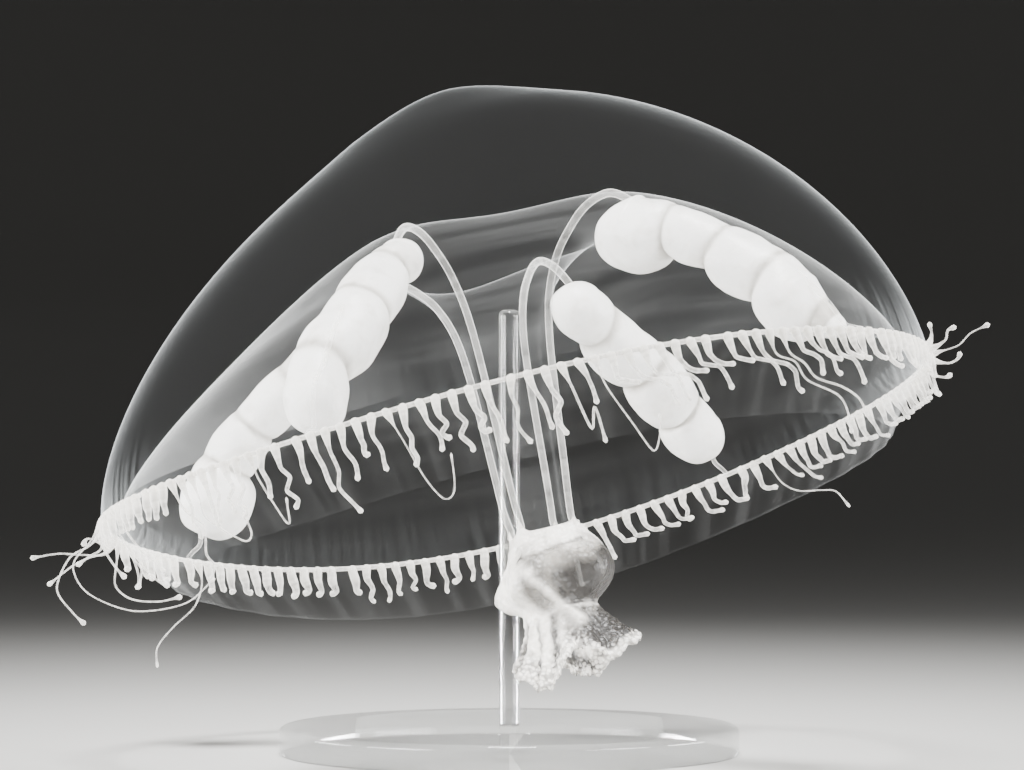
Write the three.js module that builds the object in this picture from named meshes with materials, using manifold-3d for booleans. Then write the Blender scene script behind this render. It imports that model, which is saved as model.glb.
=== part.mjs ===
// A hydromedusa of the genus Eutonina, life size, as a still display model.
// Millimetres, +Z up, origin at the middle of the stand's underside.
// The animal is modelled upright in a frame of its own, whose origin is the middle of the bell's margin,
// and is then banked as it swims: its front edge up, and its right side up. Front is -Y.
import * as THREE from "three";
import { ParametricGeometry } from "three/addons/geometries/ParametricGeometry.js";
import { mergeVertices } from "three/addons/utils/BufferGeometryUtils.js";
import Module from "manifold-3d";

const wasm = await Module();
wasm.setup();

// --- driving dimensions ---------------------------------------------------------------------------
const MARGIN_RADIUS = 18; // the margin, where the feelers grow
// The margin is a wavy ring: folds waves round it, with their heights as even (cosine) and odd (sine) parts.
const MARGIN_WAVES = [{ folds: 2, even: 0.45, odd: 0 }, { folds: 3, even: -0.2, odd: 0.14 }];
const MARGIN_WIDTH = 0.74; // the ring canal with its milky edge, across
const MARGIN_HEIGHT = 0.5; // and from top to bottom

const BELL_RADIUS = 18;
const BELL_HEIGHT = 15.5; // of the dome, without the swelling on its crown
const BELL_POWER = { left: 1.55, right: 1.77 }; // of the superellipse that the dome's outline follows
const CROWN_LEAN = 1.0; // the crown sits this far to the right of the axis
const CROWN_SWELL = 0.55; // the low swelling on the crown
const CROWN_SWELL_WIDTH = 2.6;
const BELL_EDGE_HEIGHT = 0.6; // the jelly ends this far over the margin's middle line

const CEILING_POWER = { left: 1.2, right: 1.3 }; // the same for the ceiling of the hollow under the bell
const BULGE_WIDTH = 32; // degrees: the ceiling is fuller this far to either side of a canal
const CEILING_EDGE_RADIUS = 17.0;
const CEILING_SAG = 0.4; // the ceiling around the stalk is this much lower between two canals
const CUT = 0.3; // the thin cuts that part one body part from the next

const STALK_END = -3.5; // height of the stalk's lower end
const STALK_FLARE_POWER = 8; // of the stalk's flare into the ceiling
const STALK_HOLLOW = 0.2; // its four faces are this much nearer the axis than its ridges, as a share

const CANAL_THICK = 0.5;
const CANAL_CLEAR = 0.15; // between a canal and the jelly that it lies on

// The four radial canals. turn is in degrees from +X. foot is the stalk's radius at its lower end, and taper is how
// much wider it grows on its way up, before it flares out to the crest, where the canal bends over and runs on under
// the ceiling. bulge adds to the power of the ceiling there. A gonad hangs from each canal: a chain of fused lobes,
// whose lower end is at gonadTurn. A lobe has its place along the ceiling, from the crest at 0 to the margin at 1,
// and its radius. pouch is how far the stomach bulges out under the canal, and neck is its radius at its lower end.
// A lip reaches out and drops from there, and a high flare keeps it close to the axis until near its edge.
const QUARTERS = {
  front_right: {
    turn: -31,
    foot: 1.8,
    taper: 1.4,
    crest: { radius: 6.5, height: 9.6 },
    bulge: 0.18,
    gonadTurn: -27.5,
    lobes: [[0.2, 1.65], [0.4, 1.15], [0.54, 1.4], [0.73, 1.5], [0.9, 0.6]],
    pouch: 0.95,
    neck: 1.9,
    lip: { reach: 1.8, drop: 1.7, flare: 1.2 },
  },
  back_right: {
    turn: 60.5,
    foot: 1.6,
    taper: 1.1,
    crest: { radius: 5.4, height: 9.2 },
    bulge: 0.1,
    gonadTurn: 58,
    lobes: [[0.25, 1.25], [0.44, 1.35], [0.6, 1.4], [0.78, 1.3]],
    pouch: 0.95,
    neck: 1.8,
    lip: { reach: 0.7, drop: 2.3, flare: 1.6 },
  },
  back_left: {
    turn: 149,
    foot: 1.25,
    taper: 0.35,
    crest: { radius: 4.5, height: 9.1 },
    bulge: 0.38,
    gonadTurn: 157,
    lobes: [[0.16, 0.9], [0.32, 0.95], [0.47, 1.15], [0.6, 1.2], [0.78, 1.6]],
    pouch: 0.9,
    neck: 1.3,
    lip: { reach: 0.9, drop: 1.8, flare: 2.6 },
  },
  front_left: {
    turn: 243,
    foot: 1.25,
    taper: 0.35,
    crest: { radius: 4.8, height: 9.8 },
    bulge: 0.2,
    gonadTurn: 238,
    lobes: [[0.2, 1.0], [0.37, 1.35], [0.53, 1.5], [0.77, 1.35]],
    pouch: 0.8,
    neck: 1.3,
    lip: { reach: 1.1, drop: 3.1, flare: 2.8 },
  },
};
const GONAD_BASE_RADIUS = 0.8; // between lobes
const GONAD_LOBE_REACH = 0.1; // half-width of a lobe, as a share of the ceiling
const GONAD_CLEAR = 0.2; // between a gonad and the ceiling

const FEELERS = 156;
const ARCS = 12; // the margin is parted into this many lengths, each with its own feelers
const FEELER_RADIUS = 0.3; // to the corners of its three-sided section
const BACK_FEELER = 1.35; // usual length behind
const FRONT_FEELER = 2.9; // usual length in front

const VELUM_THICK = 0.5;
const VELUM_TOP = { radius: 17.0, height: -0.6 };
const VELUM_LIP = { radius: 15.7, height: -2.9 };

const STOMACH_TOP = STALK_END - CUT;
const STOMACH_END = -7.0;
const LIP_THICK = 0.5;

const BANK_PITCH = 13.26; // degrees: the front edge is up
const BANK_ROLL = 12.6; // degrees: the right side is up
const FLOAT_HEIGHT = 13.1; // of the margin's middle over the floor

const BASE_RADIUS = 10;
const BASE_HEIGHT = 1.2;
const BASE_BEVEL = 0.25;
const ROD_RADIUS = 0.45;
const ROD_CLEAR = 0.15; // around the rod in its socket
const ROD_PASSES = { x: -2.1, y: 4.75, z: -6.7 }; // a point on the rod's axis, in the animal's frame
const ROD_TOP = 8; // the rod ends at this height in the animal's frame

// --- small helpers ----------------------------------------------------------------------------------
const radians = THREE.MathUtils.degToRad;
const mix = THREE.MathUtils.lerp;
const vec = (x, y, z) => new THREE.Vector3(x, y, z);
const around = (radius, turn, height) =>
  vec(radius * Math.cos(turn), radius * Math.sin(turn), height);

// A repeatable number from 0 to 1 for the k-th choice about the i-th feeler.
function chance(i, k) {
  const s = Math.sin(i * 12.9898 + k * 78.233) * 43758.5453;
  return s - Math.floor(s);
}

// A surface over rows of points, each row a closed ring.
function surface(rows) {
  const sides = rows[0].length;
  const pointAt = (u, v, target) =>
    target.copy(rows[Math.round(v * (rows.length - 1))][Math.round(u * sides) % sides]);
  return new ParametricGeometry(pointAt, sides, rows.length - 1);
}

// A closed skin over rings of points, drawn together at a point at either end.
const skin = (rings, first, last) =>
  surface([rings[0].map(() => first), ...rings, rings[0].map(() => last)]);

// A closed hoop: its last ring joins its first.
const hoop = (rings) => surface([...rings, rings[0]]);

const middleOf = (ring) =>
  ring.reduce((sum, p) => sum.add(p), vec(0, 0, 0)).divideScalar(ring.length);

function solidOf(geometry) {
  const bare = geometry.index ? geometry.toNonIndexed() : geometry.clone();
  bare.deleteAttribute("normal");
  bare.deleteAttribute("uv");
  const merged = mergeVertices(bare, 1e-4);
  const made = new wasm.Manifold(
    new wasm.Mesh({
      numProp: 3,
      vertProperties: new Float32Array(merged.attributes.position.array),
      triVerts: new Uint32Array(merged.index.array),
    }),
  );
  if (made.volume() >= 0) return made;
  for (let i = 0; i < merged.index.array.length; i += 3) {
    const [a, b] = [merged.index.array[i + 1], merged.index.array[i + 2]];
    merged.index.array[i + 1] = b;
    merged.index.array[i + 2] = a;
  }
  return solidOf(merged);
}

function geometryOf(solid) {
  const mesh = solid.getMesh();
  return new THREE.BufferGeometry()
    .setAttribute("position", new THREE.BufferAttribute(mesh.vertProperties, 3))
    .setIndex(new THREE.BufferAttribute(mesh.triVerts, 1));
}

// A section drawn along a smooth curve through points.
function along(points, section, steps) {
  const extrudePath = new THREE.CatmullRomCurve3(points);
  return new THREE.ExtrudeGeometry(new THREE.Shape(section), {
    extrudePath,
    steps,
    bevelEnabled: false,
  });
}

const round = (radius, sides) =>
  Array.from({ length: sides }, (_, c) =>
    new THREE.Vector2(radius, 0).rotateAround(new THREE.Vector2(), (c / sides) * 2 * Math.PI),
  );

// --- the animal's surfaces, as functions --------------------------------------------------------------
const marginWave = (turn) =>
  MARGIN_WAVES.reduce((sum, { folds, even, odd }) => sum + even * Math.cos(folds * turn) + odd * Math.sin(folds * turn), 0);
const leftToRight = (turn, { left, right }) => mix(left, right, (1 + Math.cos(turn)) / 2);

// The outer surface of the bell: climb goes from 0 at the margin to 1 at the crown.
function outerPoint(turn, climb) {
  const angle = (climb * Math.PI) / 2;
  const power = 2 / leftToRight(turn, BELL_POWER);
  const height = BELL_HEIGHT * Math.sin(angle) ** power;
  const p = around(BELL_RADIUS * Math.cos(angle) ** power, turn, height);
  p.x += CROWN_LEAN * (height / BELL_HEIGHT) ** 2;
  const away = Math.hypot(p.x - CROWN_LEAN, p.y) / CROWN_SWELL_WIDTH;
  p.z += CROWN_SWELL * Math.exp(-away * away);
  p.z += marginWave(turn) * (1 - climb) ** 2;
  p.z = Math.max(p.z, BELL_EDGE_HEIGHT + marginWave(turn));
  return p;
}

// Where a turn lies between two canals: the two quarters, and the share of the way from one to the next.
const inOrder = Object.values(QUARTERS);
function between(turn) {
  const full = 2 * Math.PI;
  const past = (quarter) => (((turn - radians(quarter.turn)) % full) + full) % full;
  const index = inOrder.reduce((best, q, i) => (past(q) < past(inOrder[best]) ? i : best), 0);
  const from = inOrder[index];
  const to = inOrder[(index + 1) % inOrder.length];
  const gap = (((radians(to.turn - from.turn)) % full) + full) % full;
  return { from, to, share: past(from) / gap };
}

// 0 on a canal and 1 halfway to the next.
const offCanals = (turn) => Math.sin(Math.PI * between(turn).share);

// A number that each quarter has, blended from one canal to the next.
function blend(turn, of) {
  const { from, to, share } = between(turn);
  return mix(of(from), of(to), THREE.MathUtils.smoothstep(share, 0, 1));
}

const crestRadius = (turn) => blend(turn, (q) => q.crest.radius);
const crestHeight = (turn) => blend(turn, (q) => q.crest.height) - CEILING_SAG * offCanals(turn) ** 2;

// How full the ceiling is: the power of its superellipse.
const fullness = (turn) =>
  inOrder.reduce((power, { turn: canalTurn, bulge }) => {
    const past = THREE.MathUtils.euclideanModulo(THREE.MathUtils.radToDeg(turn) - canalTurn + 180, 360) - 180;
    return power + bulge * Math.exp(-((past / BULGE_WIDTH) ** 2));
  }, leftToRight(turn, CEILING_POWER));

// The ceiling of the hollow: out goes from 0 at the crest around the stalk to 1 at the margin.
function ceilingPoint(turn, out) {
  const angle = (out * Math.PI) / 2;
  const power = 2 / fullness(turn);
  const radius = mix(crestRadius(turn), CEILING_EDGE_RADIUS, Math.sin(angle) ** power);
  const height = mix(BELL_EDGE_HEIGHT, crestHeight(turn), Math.cos(angle) ** power);
  return around(radius, turn, height + marginWave(turn) * out ** 2);
}

// The stalk's surface: share goes from 0 at its lower end to 1 at the crest.
function stalkPoint(turn, share) {
  const even = blend(turn, (q) => q.foot) + blend(turn, (q) => q.taper) * share;
  const radius = mix(even, crestRadius(turn) - CUT, share ** STALK_FLARE_POWER);
  const hollow = 1 - STALK_HOLLOW * offCanals(turn) ** 2;
  return around(radius * hollow, turn, mix(STALK_END, crestHeight(turn) - CUT, share));
}

// --- body parts -----------------------------------------------------------------------------------------
const BELL_COLUMNS = 32;
const columns = (count, of) =>
  Array.from({ length: count }, (_, c) => of((c / count) * 2 * Math.PI));

function bell() {
  const climbs = [0.92, 0.82, 0.7, 0.56, 0.42, 0.27, 0.12, 0];
  const outs = [1, 0.85, 0.67, 0.45, 0.22, 0];
  const rings = [
    ...climbs.map((climb) => columns(BELL_COLUMNS, (turn) => outerPoint(turn, climb))),
    ...outs.map((out) => columns(BELL_COLUMNS, (turn) => ceilingPoint(turn, out))),
  ];
  const middle = Math.min(...rings.at(-1).map((p) => p.z));
  return skin(rings, outerPoint(0, 1), vec(0, 0, middle + CEILING_SAG));
}

const STALK_COLUMNS = 24;
const STALK_SHARES = [0, 0.2, 0.45, 0.65, 0.8, 0.9, 0.96, 1];

function stalk() {
  const rings = STALK_SHARES.map((share) => columns(STALK_COLUMNS, (turn) => stalkPoint(turn, share)));
  const lowest = Math.min(...rings.at(-1).map((p) => p.z));
  return skin(rings, vec(0, 0, STALK_END), vec(0, 0, lowest));
}

// A point off a surface, which runs from low to high past it along one turn.
function off(surface, turn, at, depth) {
  const step = 0.02;
  const low = surface(turn, Math.max(at - step, 0));
  const high = surface(turn, Math.min(at + step, 1));
  const side = around(1, turn + Math.PI / 2, 0);
  const away = high.sub(low).normalize().cross(side).normalize();
  return surface(turn, at).addScaledVector(away, depth);
}

const offStalk = (turn, share, depth) => off(stalkPoint, turn, share, -depth);
const offCeiling = (turn, out, depth) => off(ceilingPoint, turn, out, -depth);

// A radial canal: up a ridge of the stalk, over the crest and out under the ceiling to its gonad.
function canal({ turn, lobes }) {
  const lift = CANAL_THICK / 2 + CANAL_CLEAR;
  const points = [
    ...STALK_SHARES.slice(0, -1).map((share) => offStalk(radians(turn), share, lift)),
    offCeiling(radians(turn), gonadEnds(lobes)[0] - 0.01, lift),
  ];
  return along(points, round(CANAL_THICK / 2, 5), points.length + 1);
}

// A gonad's radius along the ceiling: lobes on a thinner strand.
function gonadRadius(lobes, out) {
  return lobes.reduce((most, [place, radius]) => {
    const away = (out - place) / (GONAD_LOBE_REACH * (0.6 + 0.35 * radius));
    return Math.max(most, mix(GONAD_BASE_RADIUS, radius, Math.exp(-away * away)));
  }, GONAD_BASE_RADIUS);
}

const GONAD_END = 0.1; // a gonad is rounded off this far past the middle of its end lobes
const gonadEnds = (lobes) => [lobes[0][0] - GONAD_END, Math.min(lobes.at(-1)[0] + GONAD_END, 0.97)];
const GONAD_SIDES = 8;
const GONAD_STEPS = 10;

function gonad({ turn, gonadTurn, lobes }) {
  const [start, end] = gonadEnds(lobes);
  const rings = [];
  for (let i = 0; i <= GONAD_STEPS; i++) {
    const even = i / GONAD_STEPS;
    const share = mix(even, (1 - Math.cos(Math.PI * even)) / 2, 0.5); // closer together towards the ends
    const out = mix(start, end, share);
    const here = radians(mix(turn, gonadTurn, share));
    const room = Math.min((out - start) / GONAD_END, (end - out) / GONAD_END, 1);
    const radius = gonadRadius(lobes, out) * Math.max(Math.sqrt(1 - (1 - room) ** 2), 0.4);
    const middle = offCeiling(here, out, gonadRadius(lobes, out) + GONAD_CLEAR);
    const below = middle.clone().sub(ceilingPoint(here, out)).normalize();
    const side = around(1, here + Math.PI / 2, 0);
    rings.push(
      columns(GONAD_SIDES, (angle) =>
        middle
          .clone()
          .addScaledVector(side, radius * Math.cos(angle))
          .addScaledVector(below, radius * Math.sin(angle)),
      ),
    );
  }
  return skin(rings, middleOf(rings[0]), middleOf(rings.at(-1)));
}

const STOMACH_COLUMNS = 16;
// The stomach: four pouches over a neck, full and round on the right, and hanging low on the left. share goes from
// 0 at its top to 1.
function stomachPoint(turn, share) {
  const low = leftToRight(turn, { left: 2.2, right: 1.3 });
  const roundness = leftToRight(turn, { left: 0.9, right: 0.65 });
  const body = Math.max(Math.sin(Math.PI * Math.min(share * 1.05, 1) ** low), 0) ** roundness;
  const neck = mix(blend(turn, (q) => q.foot), blend(turn, (q) => q.neck), THREE.MathUtils.smoothstep(share, 0, 0.9));
  const ridge = 1 - leftToRight(turn, { left: 1, right: 0.4 }) * offCanals(turn) ** 2;
  const radius = neck + body * (0.35 + blend(turn, (q) => q.pouch) * ridge);
  return around(radius, turn, mix(STOMACH_TOP, STOMACH_END, share));
}

function stomach() {
  const shares = [0, 0.14, 0.3, 0.48, 0.66, 0.82, 1];
  const rings = shares.map((share) =>
    columns(STOMACH_COLUMNS, (turn) => stomachPoint(turn, share)),
  );
  return skin(rings, vec(0, 0, STOMACH_TOP), vec(0, 0, STOMACH_END));
}

// A lip: a curved flap that flares from the neck, broad and wavy at its edge.
function lip({ turn: canalTurn, neck, lip: { reach, drop, flare } }) {
  const turn = radians(canalTurn);
  const acrossSteps = 5;
  const downSteps = 4;
  const half = radians(37);
  const sheet = (inset) =>
    Array.from({ length: downSteps + 1 }, (_, d) =>
      Array.from({ length: acrossSteps + 1 }, (_, a) => {
        const down = d / downSteps;
        const across = (a / acrossSteps) * 2 - 1;
        const edge = 1 - 0.35 * across * across;
        const ripple = 0.25 * down * Math.cos(across * Math.PI * 2.5);
        const radius = neck + 0.1 + reach * down ** flare * edge + ripple;
        const height = STOMACH_END - CUT - drop * down * edge - inset * 0.1;
        // The inner sheet lies square off the outer one, inwards and down.
        const [outwards, downwards] = [reach * flare * down ** (flare - 1), drop];
        const away = (inset * LIP_THICK) / Math.hypot(outwards, downwards);
        return around(radius - away * downwards, turn + across * half, height - away * outwards);
      }),
    );
  const outer = sheet(0);
  const inner = sheet(1);
  // Each ring runs round the flap from top to edge: down the outer sheet and back up the inner one.
  const rings = outer[0].map((_, a) => [...outer.map((row) => row[a]), ...inner.map((row) => row[a]).reverse()]);
  return skin(rings, middleOf(rings[0]), middleOf(rings[acrossSteps]));
}

// The velum: a thin skirt that hangs from inside the margin.
function velum() {
  const half = VELUM_THICK / 2;
  const rings = columns(BELL_COLUMNS, (turn) => {
    const wave = marginWave(turn);
    const at = ({ radius, height }, shift) => around(radius + shift, turn, height + wave);
    return [at(VELUM_TOP, half), at(VELUM_TOP, -half), at(VELUM_LIP, -half), at(VELUM_LIP, half)];
  });
  return hoop(rings);
}

// A feeler's middle line, from its bulb on the margin to its tip. Those at the two ends of the view trail outwards,
// and the rest hang, kinked a little, with their tips turned aside.
const perArc = FEELERS / ARCS;
function feelerPath(i) {
  const place = (i % perArc) + 0.5;
  const inArc = perArc / 2 + (place - perArc / 2) * 0.96;
  const turn = ((Math.floor(i / perArc) * perArc + inArc) / FEELERS) * 2 * Math.PI;
  const sideRoom = Math.min(1, (Math.min(place, perArc - place) - 0.5) / 2);
  const out = around(1, turn, 0);
  const side = around(1, turn + Math.PI / 2, 0);
  const root = around(MARGIN_RADIUS, turn, marginWave(turn));
  const at = (outwards, sideways, down) =>
    root
      .clone()
      .addScaledVector(out, outwards)
      .addScaledVector(side, sideways * sideRoom)
      .add(vec(0, 0, -down));
  const right = Math.cos(turn);
  const front = -Math.sin(turn);
  if (right < -0.945) {
    const reach = 1.4 + 2.3 * chance(i, 2);
    const sag = 1.6 * chance(i, 3);
    const curl = chance(i, 4) - 0.5;
    return [
      at(0, 0, 0),
      at(0.12, 0, 0.55),
      at(0.6 * reach, 0.6 * curl, 0.5 + 0.3 * sag),
      at(reach, 1.5 * curl, 0.7 + 0.7 * sag),
      at(0.92 * reach, 2 * curl, 1.4 + 1.3 * sag),
    ];
  }
  if (right > 0.965) {
    const reach = 0.8 + 1.3 * chance(i, 2);
    const rise = 0.8 * chance(i, 3);
    return [
      at(0, 0, 0),
      at(0.12, 0, 0.5),
      at(0.6 * reach, 0.5 * (chance(i, 5) - 0.5), 0.9 - rise),
      at(reach, 0.9 * (chance(i, 6) - 0.5), 1.3 - 1.5 * rise),
    ];
  }
  const usual = mix(BACK_FEELER, FRONT_FEELER - 0.5 * right, THREE.MathUtils.smoothstep(front, -0.3, 0.3));
  const length = usual * (0.75 + 0.5 * chance(i, 1));
  const sweep = right * Math.sign(front);
  const kink = front > 0 ? 0.6 : 0.25;
  const knee = kink * (chance(i, 2) - 0.5);
  const elbow = 1.5 * kink * (chance(i, 3) - 0.5) + 0.3 * sweep;
  const toe = (chance(i, 4) < 0.8 ? 1 : -1) * (0.15 + 0.35 * chance(i, 5)) * Math.sign(sweep);
  const swing = 0.3 * (chance(i, 6) - 0.4);
  const ends = [at(0.05 + swing, elbow, 0.7 * length), at(0.05 + 1.2 * swing, elbow + toe, length)];
  return front > 0 ? [at(0, 0, 0), at(0.05, knee, 0.36 * length), ...ends] : [at(0, 0, 0), ...ends];
}

function feeler(i) {
  const path = feelerPath(i);
  return along(path, round(FEELER_RADIUS, 3), path.length - 1);
}

// One length of the margin, square in section, with the feelers that grow from its underside.
function marginArc(index) {
  const steps = 3;
  const gapTurn = CUT / MARGIN_RADIUS / 2;
  const from = (index / ARCS) * 2 * Math.PI + gapTurn;
  const to = ((index + 1) / ARCS) * 2 * Math.PI - gapTurn;
  const points = Array.from({ length: steps + 1 }, (_, k) => {
    const turn = mix(from, to, k / steps);
    return around(MARGIN_RADIUS, turn, marginWave(turn));
  });
  const [high, wide] = [MARGIN_HEIGHT / 2, MARGIN_WIDTH / 2];
  const section = [[-high, -wide], [high, -wide], [high, wide], [-high, wide]];
  const edge = along(points, section.map(([x, y]) => new THREE.Vector2(x, y)), steps);
  const own = Array.from({ length: perArc }, (_, k) => solidOf(feeler(index * perArc + k)));
  return wasm.Manifold.union([solidOf(edge), ...own]).simplify(0.04);
}

// --- materials --------------------------------------------------------------------------------------------
const material = (color, roughness, opacity = 1) =>
  new THREE.MeshStandardMaterial({ color, roughness, metalness: 0, opacity, transparent: opacity < 1 });
const JELLY = material(0xdfe9ec, 0.15, 0.35);
const FILM = material(0xe8eef0, 0.25, 0.35);
const CANAL = material(0xe9e6dc, 0.4);
const MILKY = material(0xf1ede2, 0.5);
const TISSUE = material(0xefe8da, 0.5);
const CLEAR_ACRYLIC = material(0xeef3f4, 0.05, 0.35);

// --- assembly ---------------------------------------------------------------------------------------------
const part = new THREE.Group();
const animal = new THREE.Group();
part.add(animal);
animal.rotation.set(-radians(BANK_PITCH), -radians(BANK_ROLL), 0, "YXZ");
animal.updateMatrix();
const rodPoint = vec(ROD_PASSES.x, ROD_PASSES.y, ROD_PASSES.z).applyMatrix4(animal.matrix);
animal.position.set(-rodPoint.x, -rodPoint.y, FLOAT_HEIGHT);
animal.updateMatrix();

function add(parent, name, geometry, look) {
  const mesh = new THREE.Mesh(geometry, look);
  mesh.name = name;
  parent.add(mesh);
}

// The rod stands on the base and ends in a socket in the stalk.
const rodTop = vec(ROD_PASSES.x, ROD_PASSES.y, ROD_TOP).applyMatrix4(animal.matrix).z;
function rod(radius, bottom, top) {
  return new THREE.CylinderGeometry(radius, radius, top - bottom, 12, 1)
    .rotateX(Math.PI / 2)
    .translate(0, 0, (bottom + top) / 2);
}
const socket = solidOf(
  rod(ROD_RADIUS + ROD_CLEAR, 0, rodTop + ROD_CLEAR).applyMatrix4(animal.matrix.clone().invert()),
);

function base() {
  const profile = [
    [0, 0],
    [BASE_RADIUS, 0],
    [BASE_RADIUS, BASE_HEIGHT - BASE_BEVEL],
    [BASE_RADIUS - BASE_BEVEL, BASE_HEIGHT],
    [0, BASE_HEIGHT],
  ].map(([radius, height]) => new THREE.Vector2(radius, height));
  return new THREE.LatheGeometry(profile, 30).rotateX(Math.PI / 2);
}

add(part, "stand_base", geometryOf(solidOf(base())), CLEAR_ACRYLIC);
add(part, "stand_rod", rod(ROD_RADIUS, BASE_HEIGHT, rodTop), CLEAR_ACRYLIC);

add(animal, "bell", geometryOf(solidOf(bell())), JELLY);
add(animal, "stalk", geometryOf(solidOf(stalk()).subtract(socket)), JELLY);
add(animal, "velum", geometryOf(solidOf(velum())), FILM);
add(animal, "stomach", geometryOf(solidOf(stomach())), TISSUE);
for (const [name, quarter] of Object.entries(QUARTERS)) {
  add(animal, "canal_" + name, geometryOf(solidOf(canal(quarter))), CANAL);
  add(animal, "gonad_" + name, geometryOf(solidOf(gonad(quarter))), MILKY);
  add(animal, "lip_" + name, geometryOf(solidOf(lip(quarter))), TISSUE);
}
for (let index = 0; index < ARCS; index++) {
  const name = "margin_" + String(index + 1).padStart(2, "0");
  add(animal, name, geometryOf(marginArc(index)), CANAL);
}

export default part;
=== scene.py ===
"""A hydromedusa on its display stand: a seamless skin of flesh, with organs and feelers, in a plain studio.

Lengths in the code are millimetres, in the animal's own upright frame, whose origin is the middle of the
bell's margin. They are turned to metres in the frame of the part as each mesh is made.
"""

import math

import bpy
import numpy as np
from bpy.props import FloatProperty, FloatVectorProperty, IntProperty, PointerProperty
from mathutils import Matrix, Vector, noise


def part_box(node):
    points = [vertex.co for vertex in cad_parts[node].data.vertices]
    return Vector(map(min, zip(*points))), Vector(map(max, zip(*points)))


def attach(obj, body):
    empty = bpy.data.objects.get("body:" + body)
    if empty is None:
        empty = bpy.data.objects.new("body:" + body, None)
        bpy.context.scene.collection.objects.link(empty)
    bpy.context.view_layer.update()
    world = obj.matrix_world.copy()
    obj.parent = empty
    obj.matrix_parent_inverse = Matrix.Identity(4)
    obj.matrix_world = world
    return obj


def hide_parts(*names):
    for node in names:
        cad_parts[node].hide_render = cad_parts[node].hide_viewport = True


bl_info = {
    "name": "Hydromedusa on a Stand",
    "version": (1, 0, 0),
    "blender": (4, 5, 0),
    "location": "View3D > Sidebar > Medusa",
    "description": "Dresses the solids of a small jellyfish and its acrylic stand",
    "category": "Object",
}

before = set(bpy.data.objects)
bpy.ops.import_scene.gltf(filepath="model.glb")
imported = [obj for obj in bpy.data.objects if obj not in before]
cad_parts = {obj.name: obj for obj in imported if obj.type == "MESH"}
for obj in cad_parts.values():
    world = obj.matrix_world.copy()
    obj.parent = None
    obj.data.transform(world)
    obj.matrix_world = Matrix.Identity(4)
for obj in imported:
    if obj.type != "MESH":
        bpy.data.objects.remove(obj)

TAU = 2 * math.pi
MM = 0.001

# --- the animal's form, by the rules that the solids follow ------------------------------------------------
MARGIN_RADIUS = 18.0
MARGIN_WAVES = ((2, 0.45, 0.0), (3, -0.2, 0.14))  # waves round the margin, and their cosine and sine heights
BELL_HEIGHT = 15.5
BELL_POWER = (1.55, 1.77)  # left, right
CROWN_LEAN = 1.0
CROWN_SWELL = 0.55
CROWN_SWELL_WIDTH = 2.6
CROWN_HUMP = {"middle": (-1.9, -1.6), "width": 3.3, "height": 0.55}  # only in the skin
EDGE_HEIGHT = 0.6
CEILING_POWER = (1.2, 1.3)  # left, right
BULGE_WIDTH = 32.0
CEILING_EDGE_RADIUS = 17.0
CEILING_SAG = 0.4
STALK_END = -3.5
STALK_FLARE_POWER = 8
STALK_HOLLOW = 0.2
STOMACH_END = -7.0
VELUM_LIP = (15.7, -2.9)  # radius, height
GONAD_BASE_RADIUS = 0.8
GONAD_LOBE_REACH = 0.1
GONAD_CLEAR = 0.2
FEELERS = 156
FEELERS_IN_ARC = 13
BANK_PITCH = 13.26
BANK_ROLL = 12.6
FLOAT_HEIGHT = 13.1
ROD_PASSES = (-2.1, 4.75, -6.7)

# --- what only the skin and the fine parts have ------------------------------------------------------------
EDGE_CORNERS = ((18.0, 0.2), (17.9, -0.05), (17.6, -0.12), (17.25, 0.1), (17.05, 0.45))  # radius, height
MOUTH_ROOF = (0, 0, -6.6)
FOLD_HEIGHT = 0.14
ARC_CLOSENESS = 0.96  # the feelers of a length of margin stand this much closer than evenly
THREAD_THINNESS = 0.88
GONAD_OVERHANG = 15  # steps past the ceiling's edge
GONAD_STEP = 0.15
GONAD_SIDES = 56
BULB_TOP = 0.14
SMALL_BENDS = 0.035
FRONT_LEFT = (-0.82, -0.57, 0.0)
LIT_THROUGH = 0.45  # the share of a film's light that comes from behind it
CLEAR_HITS = 24  # a ray that crosses the whole animal goes through a dozen clear films
CAMERA_AIM = (-0.27, 0, 2.94)  # from the middle of the margin

# The four radial canals, with what hangs from each. A lobe is its place along the ceiling and its radius. The
# peaks are only in the skin: the stomach's solid has a flat top.
QUARTERS = {
    "front_right": {
        "turn": -31.0,
        "foot": 1.8,
        "taper": 1.4,
        "crest": (6.5, 9.6),
        "bulge": 0.18,
        "gonad_turn": -27.5,
        "lobes": ((0.2, 1.65), (0.4, 1.15), (0.54, 1.4), (0.73, 1.5), (0.9, 0.6)),
        "pouch": 0.95,
        "peak": 0.35,
        "neck": 1.9,
        "lip": (1.8, 1.7, 1.2),
    },
    "back_right": {
        "turn": 60.5,
        "foot": 1.6,
        "taper": 1.1,
        "crest": (5.4, 9.2),
        "bulge": 0.1,
        "gonad_turn": 58.0,
        "lobes": ((0.25, 1.25), (0.44, 1.35), (0.6, 1.4), (0.78, 1.3)),
        "pouch": 0.95,
        "peak": 0.9,
        "neck": 1.8,
        "lip": (0.7, 2.3, 1.6),
    },
    "back_left": {
        "turn": 149.0,
        "foot": 1.25,
        "taper": 0.35,
        "crest": (4.5, 9.1),
        "bulge": 0.38,
        "gonad_turn": 157.0,
        "lobes": ((0.16, 0.9), (0.32, 0.95), (0.47, 1.15), (0.6, 1.2), (0.78, 1.6)),
        "pouch": 0.9,
        "peak": 0.7,
        "neck": 1.3,
        "lip": (0.9, 1.8, 2.6),
    },
    "front_left": {
        "turn": 243.0,
        "foot": 1.25,
        "taper": 0.35,
        "crest": (4.8, 9.8),
        "bulge": 0.2,
        "gonad_turn": 238.0,
        "lobes": ((0.2, 1.0), (0.37, 1.35), (0.53, 1.5), (0.77, 1.35)),
        "pouch": 0.8,
        "peak": 0.9,
        "neck": 1.3,
        "lip": (1.1, 3.1, 2.8),
    },
}


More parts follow.
